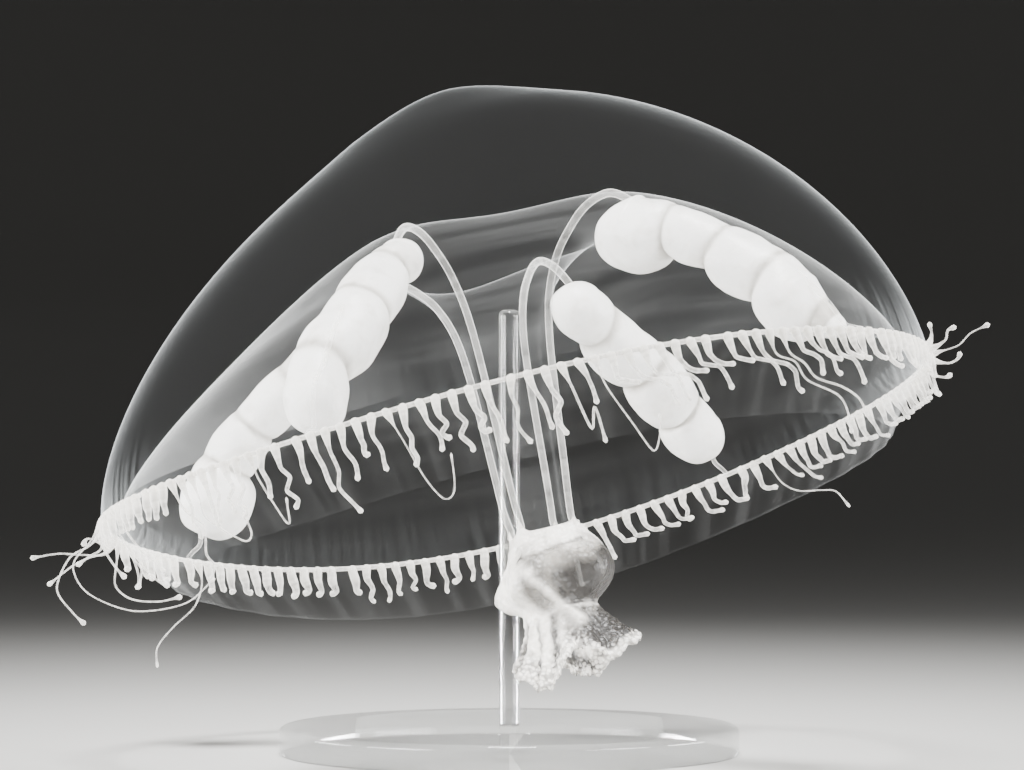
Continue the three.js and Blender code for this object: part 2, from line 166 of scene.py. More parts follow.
def linear(code):
    """A colour of linear light, with alpha, from an sRGB hex code."""
    parts = [int(code[i : i + 2], 16) / 255 for i in (1, 3, 5)]
    return tuple(c / 12.92 if c <= 0.04045 else ((c + 0.055) / 1.055) ** 2.4 for c in parts) + (1.0,)


def mix(a, b, share):
    return a + (b - a) * share


def smooth(value, low=0.0, high=1.0):
    share = np.clip((value - low) / (high - low), 0, 1)
    return share * share * (3 - 2 * share)


def chance(i, k):
    """A repeatable number from 0 to 1 for the k-th choice about the i-th feeler."""
    s = math.sin(i * 12.9898 + k * 78.233) * 43758.5453
    return s - math.floor(s)


def animal_pose():
    """From the animal's upright frame to the part's: banked, and with the rod over the origin."""
    bank = Matrix.Rotation(-math.radians(BANK_ROLL), 4, "Y")
    turned = bank @ Matrix.Rotation(-math.radians(BANK_PITCH), 4, "X")
    rod = turned @ Vector(ROD_PASSES)
    return Matrix.Translation((-rod.x, -rod.y, FLOAT_HEIGHT)) @ turned


# --- surfaces, each for an array of turns ------------------------------------------------------------------
def around(radius, turn, height):
    radius, turn, height = np.broadcast_arrays(radius, turn, height)
    return np.stack([radius * np.cos(turn), radius * np.sin(turn), height], -1).astype(float)


def between(turn):
    """The quarter that a turn follows, and the share of the way from its canal to the next."""
    starts = np.radians([q["turn"] for q in QUARTERS.values()])
    starts = np.append(starts, starts[0] + TAU)
    turn = (turn - starts[0]) % TAU + starts[0]
    index = np.clip(np.searchsorted(starts, turn, side="right") - 1, 0, 3)
    return index, (turn - starts[index]) / (starts[index + 1] - starts[index])


def off_canals(turn):
    return np.sin(math.pi * between(turn)[1])


def blend(turn, key, part=None):
    """A value of the quarters, eased from each canal to the next. part picks one number of a value."""
    index, share = between(turn)
    values = [q[key] if part is None else q[key][part] for q in QUARTERS.values()]
    values = np.array(values + values[:1])
    return mix(values[index], values[index + 1], smooth(share))


def turns(count):
    return np.arange(count) * TAU / count


def margin_wave(turn):
    return sum(even * np.cos(n * turn) + odd * np.sin(n * turn) for n, even, odd in MARGIN_WAVES)


def left_to_right(turn, values):
    return mix(values[0], values[1], (1 + np.cos(turn)) / 2)


def crest_radius(turn):
    return blend(turn, "crest", 0)


def crest_height(turn):
    return blend(turn, "crest", 1) - CEILING_SAG * off_canals(turn) ** 2


def outer_points(turn, climb):
    angle = climb * math.pi / 2
    power = 2 / left_to_right(turn, BELL_POWER)
    height = BELL_HEIGHT * math.sin(angle) ** power
    p = around(MARGIN_RADIUS * math.cos(angle) ** power, turn, height)
    p[:, 0] += CROWN_LEAN * (height / BELL_HEIGHT) ** 2
    away = np.hypot(p[:, 0] - CROWN_LEAN, p[:, 1]) / CROWN_SWELL_WIDTH
    p[:, 2] += CROWN_SWELL * np.exp(-away * away) + margin_wave(turn) * (1 - climb) ** 2
    return p


def ceiling_points(turn, out):
    angle = out * math.pi / 2
    power = left_to_right(turn, CEILING_POWER)
    for quarter in QUARTERS.values():
        past = (np.degrees(turn) - quarter["turn"] + 180) % 360 - 180
        power = power + quarter["bulge"] * np.exp(-((past / BULGE_WIDTH) ** 2))
    power = 2 / power
    radius = mix(crest_radius(turn), CEILING_EDGE_RADIUS, math.sin(angle) ** power)
    height = mix(EDGE_HEIGHT, crest_height(turn), max(math.cos(angle), 0) ** power)
    return around(radius, turn, height + margin_wave(turn) * out**2)


def climb_up_canals(turn):
    """The stomach's flesh runs up each canal in a peak."""
    return blend(turn, "peak") * (1 - off_canals(turn)) ** 4


def stalk_points(turn, share):
    even = blend(turn, "foot") + blend(turn, "taper") * share
    flare = share**STALK_FLARE_POWER
    hollow = 1 - STALK_HOLLOW * off_canals(turn) ** 2 * (1 - flare)
    height = mix(STALK_END, crest_height(turn), share) + climb_up_canals(turn) * (1 - share) ** 8
    return around(mix(even, crest_radius(turn), flare) * hollow, turn, height)


def stomach_points(turn, share):
    """Four pouches: full and round on the right, and hanging low on the left, with a corner at the bottom."""
    low = left_to_right(turn, (2.2, 1.3))
    round_off = left_to_right(turn, (0.9, 0.65))
    body = np.sin(math.pi * np.minimum(share * 1.05, 1) ** low) ** round_off if share < 0.95 else 0.0
    neck = mix(blend(turn, "foot") + 0.05, blend(turn, "neck"), smooth(share, 0.0, 0.9))
    off = off_canals(turn)
    hollow = 1 - STALK_HOLLOW * off**2 * (1 - smooth(share, 0.0, 0.25))
    folds = 0.05 * body * np.sin(turn * 11 + 4 * share)
    pouch = blend(turn, "pouch") * (1 - left_to_right(turn, (1.0, 0.4)) * off**2)
    height = mix(STALK_END - 0.1, STOMACH_END, share) + climb_up_canals(turn) * (1 - share) ** 4
    return around(neck * hollow + body * (0.35 + pouch) + folds, turn, height)


def lip_points(turn, down, inset):
    """The skirt of four frilled lips, which flares from the stomach's neck. inset is 1 on its inner face."""
    off = off_canals(turn)
    across = between(turn)[1] * 2
    across = np.where(across > 1, across - 2, across) * 1.22  # 0 on a canal, and 1.22 half-way to the next
    edge = 1 - 0.24 * off**2 - 0.08 * off**10
    reach, drop, flare = (blend(turn, "lip", part) for part in range(3))
    ripple = 0.25 * np.cos(across * math.pi * 2.5) + 0.13 * down * np.sin(turn * 17 + 1.3)
    ripple = ripple + 0.05 * down * np.sin(turn * 41)
    radius = blend(turn, "neck") + reach * down**flare * edge + down**1.5 * ripple
    scallop = 0.16 * down**3 * np.abs(np.sin(turn * 14 + 0.6 * np.sin(turn * 5)))
    # One corner of the flap on the right hangs.
    scallop = scallop + 0.75 * down**2 * np.exp(-(((turn - math.radians(309)) / 0.24) ** 2))
    height = STOMACH_END - (drop + 0.3) * down * edge - scallop
    # The inner face lies square off the outer one, inwards and down.
    outwards = reach * flare * down ** (flare - 1)
    away = inset * mix(0.35, 0.16, down) / np.hypot(outwards, drop)
    return around(radius - away * drop, turn, height - away * outwards)


# --- objects and meshes ------------------------------------------------------------------------------------
def place_in_scene(name, data):
    made = bpy.data.objects.new(name, data)
    bpy.context.scene.collection.objects.link(made)
    return made


def look_along(made, direction):
    made.rotation_mode = "QUATERNION"
    made.rotation_quaternion = direction.to_track_quat("-Z", "Y")


def make_object(name, vertices, faces, material_index=None, attributes=None, edges=()):
    """A mesh object at the origin from vertices in the animal's frame, in millimetres, shown smooth."""
    pose = np.array(animal_pose())
    vertices = np.asarray(vertices, float)
    placed = (vertices @ pose[:3, :3].T + pose[:3, 3]) * MM
    mesh = bpy.data.meshes.new(name)
    mesh.from_pydata(placed.tolist(), [tuple(e) for e in edges], [tuple(f) for f in faces])
    attributes = {"upright": vertices * MM, **(attributes or {})}
    for label, values in attributes.items():
        values = np.asarray(values, float)
        kind, field = ("FLOAT_VECTOR", "vector") if values.ndim == 2 else ("FLOAT", "value")
        mesh.attributes.new(label, kind, "POINT").data.foreach_set(field, values.ravel())
    if len(mesh.polygons):
        if material_index is not None:
            mesh.polygons.foreach_set("material_index", material_index)
        mesh.polygons.foreach_set("use_smooth", [True] * len(mesh.polygons))
    mesh.update()
    return place_in_scene(name, mesh)


def skin_faces(rows, columns, poles=True, hoop=False):
    """Faces over rows of points, each row a closed ring. The poles come after the rows: first, last."""
    faces = []
    row_pairs = [(r, (r + 1) % rows) for r in range(rows if hoop else rows - 1)]
    for low, high in row_pairs:
        for c in range(columns):
            d = (c + 1) % columns
            faces.append((low * columns + c, low * columns + d, high * columns + d, high * columns + c))
    if poles:
        first, last = rows * columns, rows * columns + 1
        for c in range(columns):
            d = (c + 1) % columns
            faces.append((first, d, c))
            faces.append((last, (rows - 1) * columns + c, (rows - 1) * columns + d))
    return faces


def face_out(vertices, faces):
    """The faces, all turned over if they point inwards, by the sign of the volume that they enclose."""
    corners = np.array([f[:3] for f in faces] + [(f[0], f[2], f[3]) for f in faces if len(f) == 4])
    a, b, c = (vertices[corners[:, k]] for k in range(3))
    volume = np.einsum("ij,ij->i", a, np.cross(b, c)).sum()
    return faces if volume > 0 else [f[::-1] for f in faces]


def roughened(made, amounts, grain, seed):
    """Moves each vertex along its normal by noise: amounts in millimetres, grain in lumps a millimetre."""
    mesh = made.data
    count = len(mesh.vertices)
    places, normals = np.empty(count * 3), np.empty(count * 3)
    mesh.vertices.foreach_get("co", places)
    mesh.vertices.foreach_get("normal", normals)
    places = places.reshape(-1, 3)
    shift = Vector((seed, -seed, 2 * seed))
    lumps = np.array([noise.noise(Vector(p) * (grain / MM) + shift) for p in places])
    places += normals.reshape(-1, 3) * (lumps * amounts * MM)[:, None]
    mesh.vertices.foreach_set("co", places.ravel())
    mesh.update()


def smooth_path(points, count):
    """Points spaced evenly by knot along a Catmull-Rom curve through the given points."""
    p = np.asarray(points, float)
    p = np.vstack([2 * p[0] - p[1], p, 2 * p[-1] - p[-2]])
    result = []
    for at in np.linspace(0, len(p) - 3 - 1e-6, count):
        i, t = int(at), at - int(at)
        a, b, c, d = p[i : i + 4]
        bend, twist = 2 * a - 5 * b + 4 * c - d, 3 * b - a - 3 * c + d
        result.append(0.5 * (2 * b + (c - a) * t + bend * t**2 + twist * t**3))
    return np.array(result)


def finish_piece(made, materials, replaced):
    """The last steps for a piece: its materials, its body and the solids that it stands for."""
    for material in materials:
        made.data.materials.append(material)
    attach(made, "root")
    if replaced:
        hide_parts(*replaced)
    return made


# --- nodes -------------------------------------------------------------------------------------------------
def add(tree, kind, inputs=None, **settings):
    """A node with its settings, and each input linked to a socket or set to a value."""
    made = tree.nodes.new(kind)
    for name, value in settings.items():
        setattr(made, name, value)
    for name, value in (inputs or {}).items():
        if isinstance(value, bpy.types.NodeSocket):
            tree.links.new(value, made.inputs[name])
        else:
            made.inputs[name].default_value = value
    return made


def new_material(name):
    material = bpy.data.materials.new(name)
    material.use_nodes = True
    material.node_tree.nodes.clear()
    return material, material.node_tree


def calc(tree, operation, *values, clamp=False):
    made = add(tree, "ShaderNodeMath", dict(enumerate(values)), operation=operation, use_clamp=clamp)
    return made.outputs[0]


def remap(tree, value, start, end, low, high, kind="LINEAR"):
    """A number that goes from low to high as the value goes from start to end."""
    inputs = dict(enumerate((value, start, end, low, high)))
    return add(tree, "ShaderNodeMapRange", inputs, interpolation_type=kind).outputs[0]


def stored(tree, name):
    return add(tree, "ShaderNodeAttribute", attribute_name=name).outputs["Fac"]


def upright(tree):
    """The place in the animal's own frame, in metres."""
    return add(tree, "ShaderNodeAttribute", attribute_name="upright").outputs["Vector"]


def clouds(tree, scale, detail):
    inputs = {"Vector": upright(tree), "Scale": scale, "Detail": detail}
    return add(tree, "ShaderNodeTexNoise", inputs).outputs[0]


def stripes(tree, along, scale):
    inputs = {"W": along, "Scale": scale, "Detail": 2.0}
    return add(tree, "ShaderNodeTexNoise", inputs, noise_dimensions="1D").outputs[0]


def cells(tree, scale):
    return add(tree, "ShaderNodeTexVoronoi", {"Vector": upright(tree), "Scale": scale}).outputs[0]


def tones(tree, share, dark, light):
    return add(tree, "ShaderNodeMix", {0: share, 6: dark, 7: light}, data_type="RGBA").outputs[2]


def facing(tree):
    """0 where a surface is seen face on, and 1 where it is seen along its face."""
    return add(tree, "ShaderNodeLayerWeight", {"Blend": 0.5}).outputs["Facing"]


def show(tree, shader, opacity):
    """The shader as the material's surface. Where opacity is less than 1, what is behind shows through."""
    clear = add(tree, "ShaderNodeBsdfTransparent").outputs[0]
    both = add(tree, "ShaderNodeMixShader", {0: opacity, 1: clear, 2: shader}).outputs[0]
    add(tree, "ShaderNodeOutputMaterial", {"Surface": both})


def flesh_shader(tree, color, rough, scatter, bump):
    """Wet flesh. scatter is a weight, a radius and a scale, and bump a strength, a height and a pattern."""
    weight, radius, scale = scatter
    strength, height, pattern = bump
    inputs = {"Strength": strength, "Distance": height, "Height": pattern}
    normal = add(tree, "ShaderNodeBump", inputs).outputs[0]
    inputs = {"Base Color": color, "Roughness": rough, "Normal": normal}
    inputs.update({"Subsurface Weight": weight, "Subsurface Radius": radius, "Subsurface Scale": scale})
    return add(tree, "ShaderNodeBsdfPrincipled", inputs).outputs[0]


def film(name, color, milk, thin, rim, rim_power):
    """A clear film of flesh: see-through face on, milky where it is seen along its face.

    thin is its opacity face on, rim what a grazing view adds, and milk a function of the tree that gives more
    opacity from a pattern, as a socket. The milk shows lit from in front and from behind.
    """
    material, tree = new_material(name)
    opacity = calc(tree, "MULTIPLY_ADD", calc(tree, "POWER", facing(tree), rim_power), rim, thin)
    opacity = calc(tree, "ADD", opacity, milk(tree), clamp=True)
    flesh = add(tree, "ShaderNodeBsdfDiffuse", {"Color": color}).outputs[0]
    lit_through = add(tree, "ShaderNodeBsdfTranslucent", {"Color": color}).outputs[0]
    body = add(tree, "ShaderNodeMixShader", {0: LIT_THROUGH, 1: flesh, 2: lit_through}).outputs[0]
    show(tree, body, opacity)
    return material


# --- materials ---------------------------------------------------------------------------------------------
def jelly_material(color):
    """Living jelly of the bell, clear as water: it shows as a pale rim, with milky fibres near the margin."""

    def milk(tree):
        x, y, z = add(tree, "ShaderNodeSeparateXYZ", {0: upright(tree)}).outputs
        # Fibres run up the bell, about 0.4 mm apart at the margin.
        fibres = stripes(tree, calc(tree, "ARCTAN2", y, x), 42.0)
        streaks = remap(tree, fibres, 0.35, 0.7, 0.02, 0.16)
        low = calc(tree, "POWER", remap(tree, z, 0.0, 0.0045, 1.0, 0.0, "SMOOTHSTEP"), 3.0)
        # The margin is drawn together at the left and right, so the milk lies thicker there.
        aside = calc(tree, "MULTIPLY", x, 1 / (MARGIN_RADIUS * MM))
        aside = calc(tree, "MULTIPLY_ADD", calc(tree, "POWER", aside, 12.0), 2.6, 0.08)
        return calc(tree, "MULTIPLY", low, calc(tree, "MULTIPLY", streaks, aside))

    return film("living jelly, clear", color, milk, thin=0.004, rim=0.4, rim_power=16.0)


def muscle_material(color):
    """Muscle film that lines the hollow and the stalk: fine bands round the bell, milkier than jelly."""

    def milk(tree):
        # Muscle fibres run round the hollow, in bands about 1 mm wide that come and go.
        z = add(tree, "ShaderNodeSeparateXYZ", {0: upright(tree)}).outputs["Z"]
        bands = remap(tree, stripes(tree, z, 900.0), 0.42, 0.7, 0.0, 0.04)
        patches = remap(tree, clouds(tree, 120.0, 0.0), 0.35, 0.65, 0.2, 1.0)
        # Low at the front left the film is drawn together, and is hazier.
        low = remap(tree, z, 0.0, 0.009, 0.12, 0.0)
        left = add(tree, "ShaderNodeVectorMath", {0: upright(tree), 1: FRONT_LEFT}, operation="DOT_PRODUCT")
        haze = calc(tree, "MULTIPLY", low, remap(tree, left.outputs["Value"], 0.012, 0.017, 0.0, 1.0))
        return calc(tree, "MULTIPLY_ADD", bands, patches, haze)

    return film("muscle film, banded", color, milk, thin=0.004, rim=0.42, rim_power=10.0)


def velum_material(color):
    """The velum, a film of muscle thinner than paper: faint radial creases."""

    def milk(tree):
        x, y, _ = add(tree, "ShaderNodeSeparateXYZ", {0: upright(tree)}).outputs
        shaded_creases = stripes(tree, calc(tree, "ARCTAN2", y, x), 14.0)
        return remap(tree, shaded_creases, 0.45, 0.75, 0.0, 0.01)

    return film("velum film, creased", color, milk, thin=0.003, rim=0.1, rim_power=6.0)


def canal_material(color):
    """Canal wall, a soft clear tube: bright along its two edges, greyer between them."""

    def milk(tree):
        return remap(tree, clouds(tree, 4000.0, 1.0), 0.3, 0.7, 0.0, 0.15)

    return film("canal wall, milky", color, milk, thin=0.08, rim=0.8, rim_power=2.8)


def ring_material(color):
    """Wall of the ring canal, a soft tube in the bell's edge: milky all round, with the finest grain."""

    def milk(tree):
        return remap(tree, clouds(tree, 5000.0, 1.0), 0.35, 0.65, 0.0, 0.25)

    return film("ring canal wall, milky", color, milk, thin=0.4, rim=0.5, rim_power=1.7)


def feeler_material(color):
    """Feeler flesh: white and dense in the root's bulb and in the swollen tip, clearer along the shaft."""

    def milk(tree):
        dense = calc(tree, "MULTIPLY", stored(tree, "dense"), 0.6)
        # Stinging cells lie in grains, drawn 0.2 mm apart so that they show.
        return calc(tree, "ADD", dense, remap(tree, clouds(tree, 5000.0, 0.0), 0.4, 0.6, 0.0, 0.2))

    return film("feeler flesh, dense", color, milk, thin=0.26, rim=0.35, rim_power=1.6)


def tissue_material(color, shade):
    """Stomach and lips: soft grainy white flesh, wet, with painted shade where it is thin and in its creases,
    clearer over the full pouch.
    """
    material, tree = new_material("stomach flesh, grainy")
    grains, cloudy, painted_shade = cells(tree, 5200.0), clouds(tree, 900.0, 4.0), stored(tree, "painted_shade")
    # The tone is random clouds, darkened towards the shade colour by painted shade where the flesh is thin or
    # creased.
    tone = calc(tree, "SUBTRACT", remap(tree, cloudy, 0.3, 0.55, 0.45, 1.0), painted_shade, clamp=True)
    # The lips' edge is crumbly: white grains about 0.2 mm across, with painted shade between them.
    gaps = calc(tree, "MULTIPLY", remap(tree, grains, 0.35, 0.6, 0.0, 0.5), stored(tree, "crumbly"))
    tone = calc(tree, "SUBTRACT", tone, gaps, clamp=True)
    # Thin places let the ground through, in patches about 1 mm wide.
    patches = calc(tree, "MULTIPLY", remap(tree, cloudy, 0.4, 0.6, 0.35, 0.05), painted_shade)
    clear = calc(tree, "ADD", stored(tree, "clear"), patches, clamp=True)
    solid = remap(tree, clear, 0.0, 1.0, 0.97, 0.6)
    opacity = calc(tree, "MULTIPLY_ADD", calc(tree, "POWER", facing(tree), 2.5), 0.35, solid, clamp=True)
    mixed = tones(tree, tone, shade, color)
    scatter, bump = (0.25, (1.0, 0.9, 0.8), 0.3 * MM), (0.5, 0.08 * MM, grains)
    show(tree, flesh_shader(tree, mixed, 0.4, scatter, bump), opacity)
    return material


def gonad_material(color, shade):
    """Ripe gonad: solid chalk-white flesh with fine eggs under its skin, with painted shade in the creases
    between its lobes.
    """
    material, tree = new_material("gonad flesh, chalky")
    eggs = cells(tree, 7000.0)
    tone = remap(tree, clouds(tree, 1500.0, 3.0), 0.25, 0.5, 0.75, 1.0)
    # Painted shade: the flesh is darkened towards the crease colour where two lobes meet.
    tone = calc(tree, "SUBTRACT", tone, stored(tree, "shaded_crease"), clamp=True)
    mixed = tones(tree, tone, shade, color)
    scatter, bump = (0.3, (1.0, 0.95, 0.9), 0.5 * MM), (0.25, 0.04 * MM, eggs)
    flesh = flesh_shader(tree, mixed, 0.45, scatter, bump)
    add(tree, "ShaderNodeOutputMaterial", {"Surface": flesh})
    return material


def acrylic_material(color):
    """Cast acrylic, turned and polished: clear, with bright edges, and hair-fine turning marks."""
    material, tree = new_material("acrylic, polished")
    inputs = {"Vector": add(tree, "ShaderNodeTexCoord").outputs["Object"], "Scale": 900.0, "Distortion": 1.0}
    marks = add(tree, "ShaderNodeTexWave", inputs, wave_type="RINGS", rings_direction="Z").outputs[1]
    rough = remap(tree, marks, 0.0, 1.0, 0.02, 0.06)
    inputs = {"Base Color": color, "Roughness": rough, "Transmission Weight": 1.0, "IOR": 1.49}
    show(tree, add(tree, "ShaderNodeBsdfPrincipled", inputs).outputs[0], 0.45)
    return material


def backdrop_material(color):
    """Matt pale board, painted: no shine, the faintest cloudiness from the roller."""
    material, tree = new_material("matt board, painted")
    inputs = {"Vector": add(tree, "ShaderNodeTexCoord").outputs["Object"], "Scale": 6.0, "Detail": 2.0}
    cloudy = add(tree, "ShaderNodeTexNoise", inputs).outputs[0]
    mixed = tones(tree, cloudy, tuple(c * 0.96 for c in color[:3]) + (1.0,), color)
    inputs = {"Base Color": mixed, "Roughness": 0.9, "Specular IOR Level": 0.1}
    paint = add(tree, "ShaderNodeBsdfPrincipled", inputs).outputs[0]
    add(tree, "ShaderNodeOutputMaterial", {"Surface": paint})
    return material


# --- strands: feelers, canals and the ring canal, from middle lines by geometry nodes ----------------------
STRAND_INPUTS = (
    ("Root Width", "NodeSocketFloat", "DISTANCE"),
    ("Shaft Width", "NodeSocketFloat", "DISTANCE"),
    ("Tip Width", "NodeSocketFloat", "DISTANCE"),
    ("Root Reach", "NodeSocketFloat", "DISTANCE"),
    ("Tip Reach", "NodeSocketFloat", "DISTANCE"),
    ("Step", "NodeSocketFloat", "DISTANCE"),
    ("Rounded", "NodeSocketFloat", "FACTOR"),
    ("Sides", "NodeSocketInt", None),
    ("Flesh", "NodeSocketMaterial", None),
)


def strand_tree():
    """Each line of the mesh becomes a tube: a root that tapers, an even shaft and a swollen, rounded tip."""
    tree = bpy.data.node_groups.new("flesh strands", "GeometryNodeTree")
    face = tree.interface
    face.new_socket("Lines", in_out="INPUT", socket_type="NodeSocketGeometry")
    for name, kind, subtype in STRAND_INPUTS:
        socket = face.new_socket(name, in_out="INPUT", socket_type=kind)
        if subtype:
            socket.subtype = subtype
    face.new_socket("Tubes", in_out="OUTPUT", socket_type="NodeSocketGeometry")
    given = add(tree, "NodeGroupInput").outputs
    lines = add(tree, "GeometryNodeMeshToCurve", {"Mesh": given["Lines"]}).outputs[0]
    resampled = {"Curve": lines, "Length": given["Step"]}
    evened = add(tree, "GeometryNodeResampleCurve", resampled, mode="LENGTH").outputs[0]
    from_root = add(tree, "GeometryNodeSplineParameter").outputs["Length"]
    whole = add(tree, "GeometryNodeSplineLength").outputs["Length"]
    from_tip = calc(tree, "SUBTRACT", whole, from_root)
    girth = add(tree, "GeometryNodeInputNamedAttribute", {"Name": "girth"}, data_type="FLOAT").outputs[0]
    near_root = remap(tree, from_root, 0.0, given["Root Reach"], 1.0, 0.0)
    near_tip = remap(tree, from_tip, given["Tip Reach"], 0.0, 0.0, 1.0, "SMOOTHSTEP")
    # Flesh is dense in the root and in the tip, and the material reads how dense it is.
    dense = calc(tree, "MAXIMUM", near_root, calc(tree, "MULTIPLY", near_tip, 0.6))
    marked = {"Geometry": evened, "Name": "dense", "Value": dense}
    evened = add(tree, "GeometryNodeStoreNamedAttribute", marked, data_type="FLOAT").outputs[0]
    widths = {0: near_root, 2: given["Shaft Width"], 3: given["Root Width"]}
    width = add(tree, "ShaderNodeMix", widths).outputs[0]
    width = add(tree, "ShaderNodeMix", {0: near_tip, 2: width, 3: given["Tip Width"]}).outputs[0]
    # Both ends are rounded off, over the last 0.14 mm.
    from_end = calc(tree, "MINIMUM", from_root, from_tip)
    ending = calc(tree, "POWER", remap(tree, from_end, 0.0, 0.14 * MM, 1.0, 0.0), 2.0)
    ending = calc(tree, "SUBTRACT", 1.05, calc(tree, "MULTIPLY", ending, given["Rounded"]))
    ending = calc(tree, "SQRT", ending)
    radius = calc(tree, "MULTIPLY", calc(tree, "MULTIPLY", width, 0.5), girth)
    radius = calc(tree, "MULTIPLY", radius, ending)
    circle = {"Resolution": given["Sides"], "Radius": 1.0}
    section = add(tree, "GeometryNodeCurvePrimitiveCircle", circle).outputs[0]
    swept = {"Curve": evened, "Profile Curve": section, "Scale": radius, "Fill Caps": True}
    tubes = add(tree, "GeometryNodeCurveToMesh", swept).outputs[0]
    tubes = add(tree, "GeometryNodeSetShadeSmooth", {"Geometry": tubes}).outputs[0]
    tubes = add(tree, "GeometryNodeRealizeInstances", {"Geometry": tubes}).outputs[0]
    tubes = add(tree, "GeometryNodeSetMaterial", {"Geometry": tubes, "Material": given["Flesh"]}).outputs[0]
    add(tree, "NodeGroupOutput", {"Tubes": tubes})
    return tree


def strands(name, lines, girths, values, closed=False):
    """A plain mesh of tubes along lines of points, each point with its own share of the width."""
    vertices = np.vstack(lines)
    edges, start = [], 0
    for line in lines:
        edges += [(start + k, start + k + 1) for k in range(len(line) - 1)]
        if closed:
            edges.append((start + len(line) - 1, start))
        start += len(line)
    marks = {"girth": np.concatenate(girths)}
    wire = make_object(name + "_lines", vertices, [], attributes=marks, edges=edges)
    tree = bpy.data.node_groups.get("flesh strands") or strand_tree()
    modifier = wire.modifiers.new("strands", "NODES")
    modifier.node_group = tree
    sockets = {s.name: s.identifier for s in tree.interface.items_tree if s.in_out == "INPUT"}
    for label, value in values.items():
        modifier[sockets[label]] = value
    graph = bpy.context.evaluated_depsgraph_get()
    shown = wire.evaluated_get(graph)
    mesh = bpy.data.meshes.new_from_object(shown, preserve_all_data_layers=True, depsgraph=graph)
    mesh.name = name
    made = place_in_scene(name, mesh)
    wire.modifiers.clear()
    bpy.data.objects.remove(wire)
    if not len(mesh.polygons):
        raise RuntimeError("no tubes were made for " + name)
    return made


# A feeler's shape: how stout its shaft is, how sharply it bends, how wide its tip is, how much it varies, and
# then the points that it passes, each to the viewer's right along the margin and down from its root.
SHAPES = {
    "column": (1.5, 0.3, 1.0, 0.3, ((0.03, 0.5), (0.08, 0.9), (0.1, 1.25))),
    "zigzag": (1.05, 0.8, 1.0, 1.0, ((0.1, 0.8), (0.3, 1.25), (0.08, 1.7), (0.34, 2.15), (0.3, 2.45))),
    "straight": (1.1, 0.4, 1.0, 1.0, ((0.1, 0.8), (0.28, 1.5), (0.3, 2.2))),
    "hook": (1.15, 0.7, 1.1, 0.7, ((0.1, 0.75), (0.3, 1.15), (0.12, 1.45), (0.28, 1.7), (0.45, 1.62))),
    "long": (0.85, 0.7, 1.0, 1.0, ((0.1, 0.9), (0.25, 1.7), (0.2, 2.3), (0.5, 2.9), (0.75, 3.5))),
    "stair": (
        *(0.95, 0.8, 1.0, 0.8),
        ((0.08, 0.7), (0.3, 1.1), (0.95, 1.3), (1.15, 1.6), (1.2, 2.2), (1.25, 2.4)),
    ),
    "step": (1.1, 0.8, 1.0, 0.6, ((0.06, 0.7), (0.2, 1.05), (0.65, 1.25), (1.05, 1.3))),
    "peg": (1.6, 0.5, 1.2, 0.4, ((0.03, 0.5), (0.0, 0.95), (0.06, 1.1), (0.3, 1.14))),
    "leg": (1.15, 0.5, 0.9, 0.8, ((0.05, 0.5), (0.12, 0.9), (0.03, 1.25), (0.12, 1.45))),
    "ell": (1.15, 0.6, 1.0, 0.6, ((0.1, 0.6), (0.22, 0.95), (0.45, 1.15), (0.95, 1.2))),
    "slant": (0.85, 0.3, 0.9, 0.9, ((0.2, 0.5), (0.5, 0.95), (0.8, 1.4), (1.25, 1.6))),
}
# Which shapes grow where: how far to the viewer's right a stretch of the near or the far margin ends, as a
# share of the margin's radius, and its shapes.
NEAR_FRINGE = (
    (-0.78, ("column",)),
    (-0.5, ("zigzag", "hook", "straight", "zigzag", "long", "zigzag")),
    (0.0, ("straight", "zigzag", "hook", "long", "zigzag", "straight")),
    (0.25, ("long", "straight", "zigzag")),
    (0.8, ("stair", "step", "stair", "step", "straight")),
    (1.0, ("step", "column")),
)
FAR_FRINGE = (
    (-0.55, ("peg",)),
    (-0.1, ("peg", "leg")),
    (0.15, ("leg", "leg", "straight")),
    (0.62, ("ell", "ell", "ell", "leg")),
    (1.0, ("slant", "ell")),
)
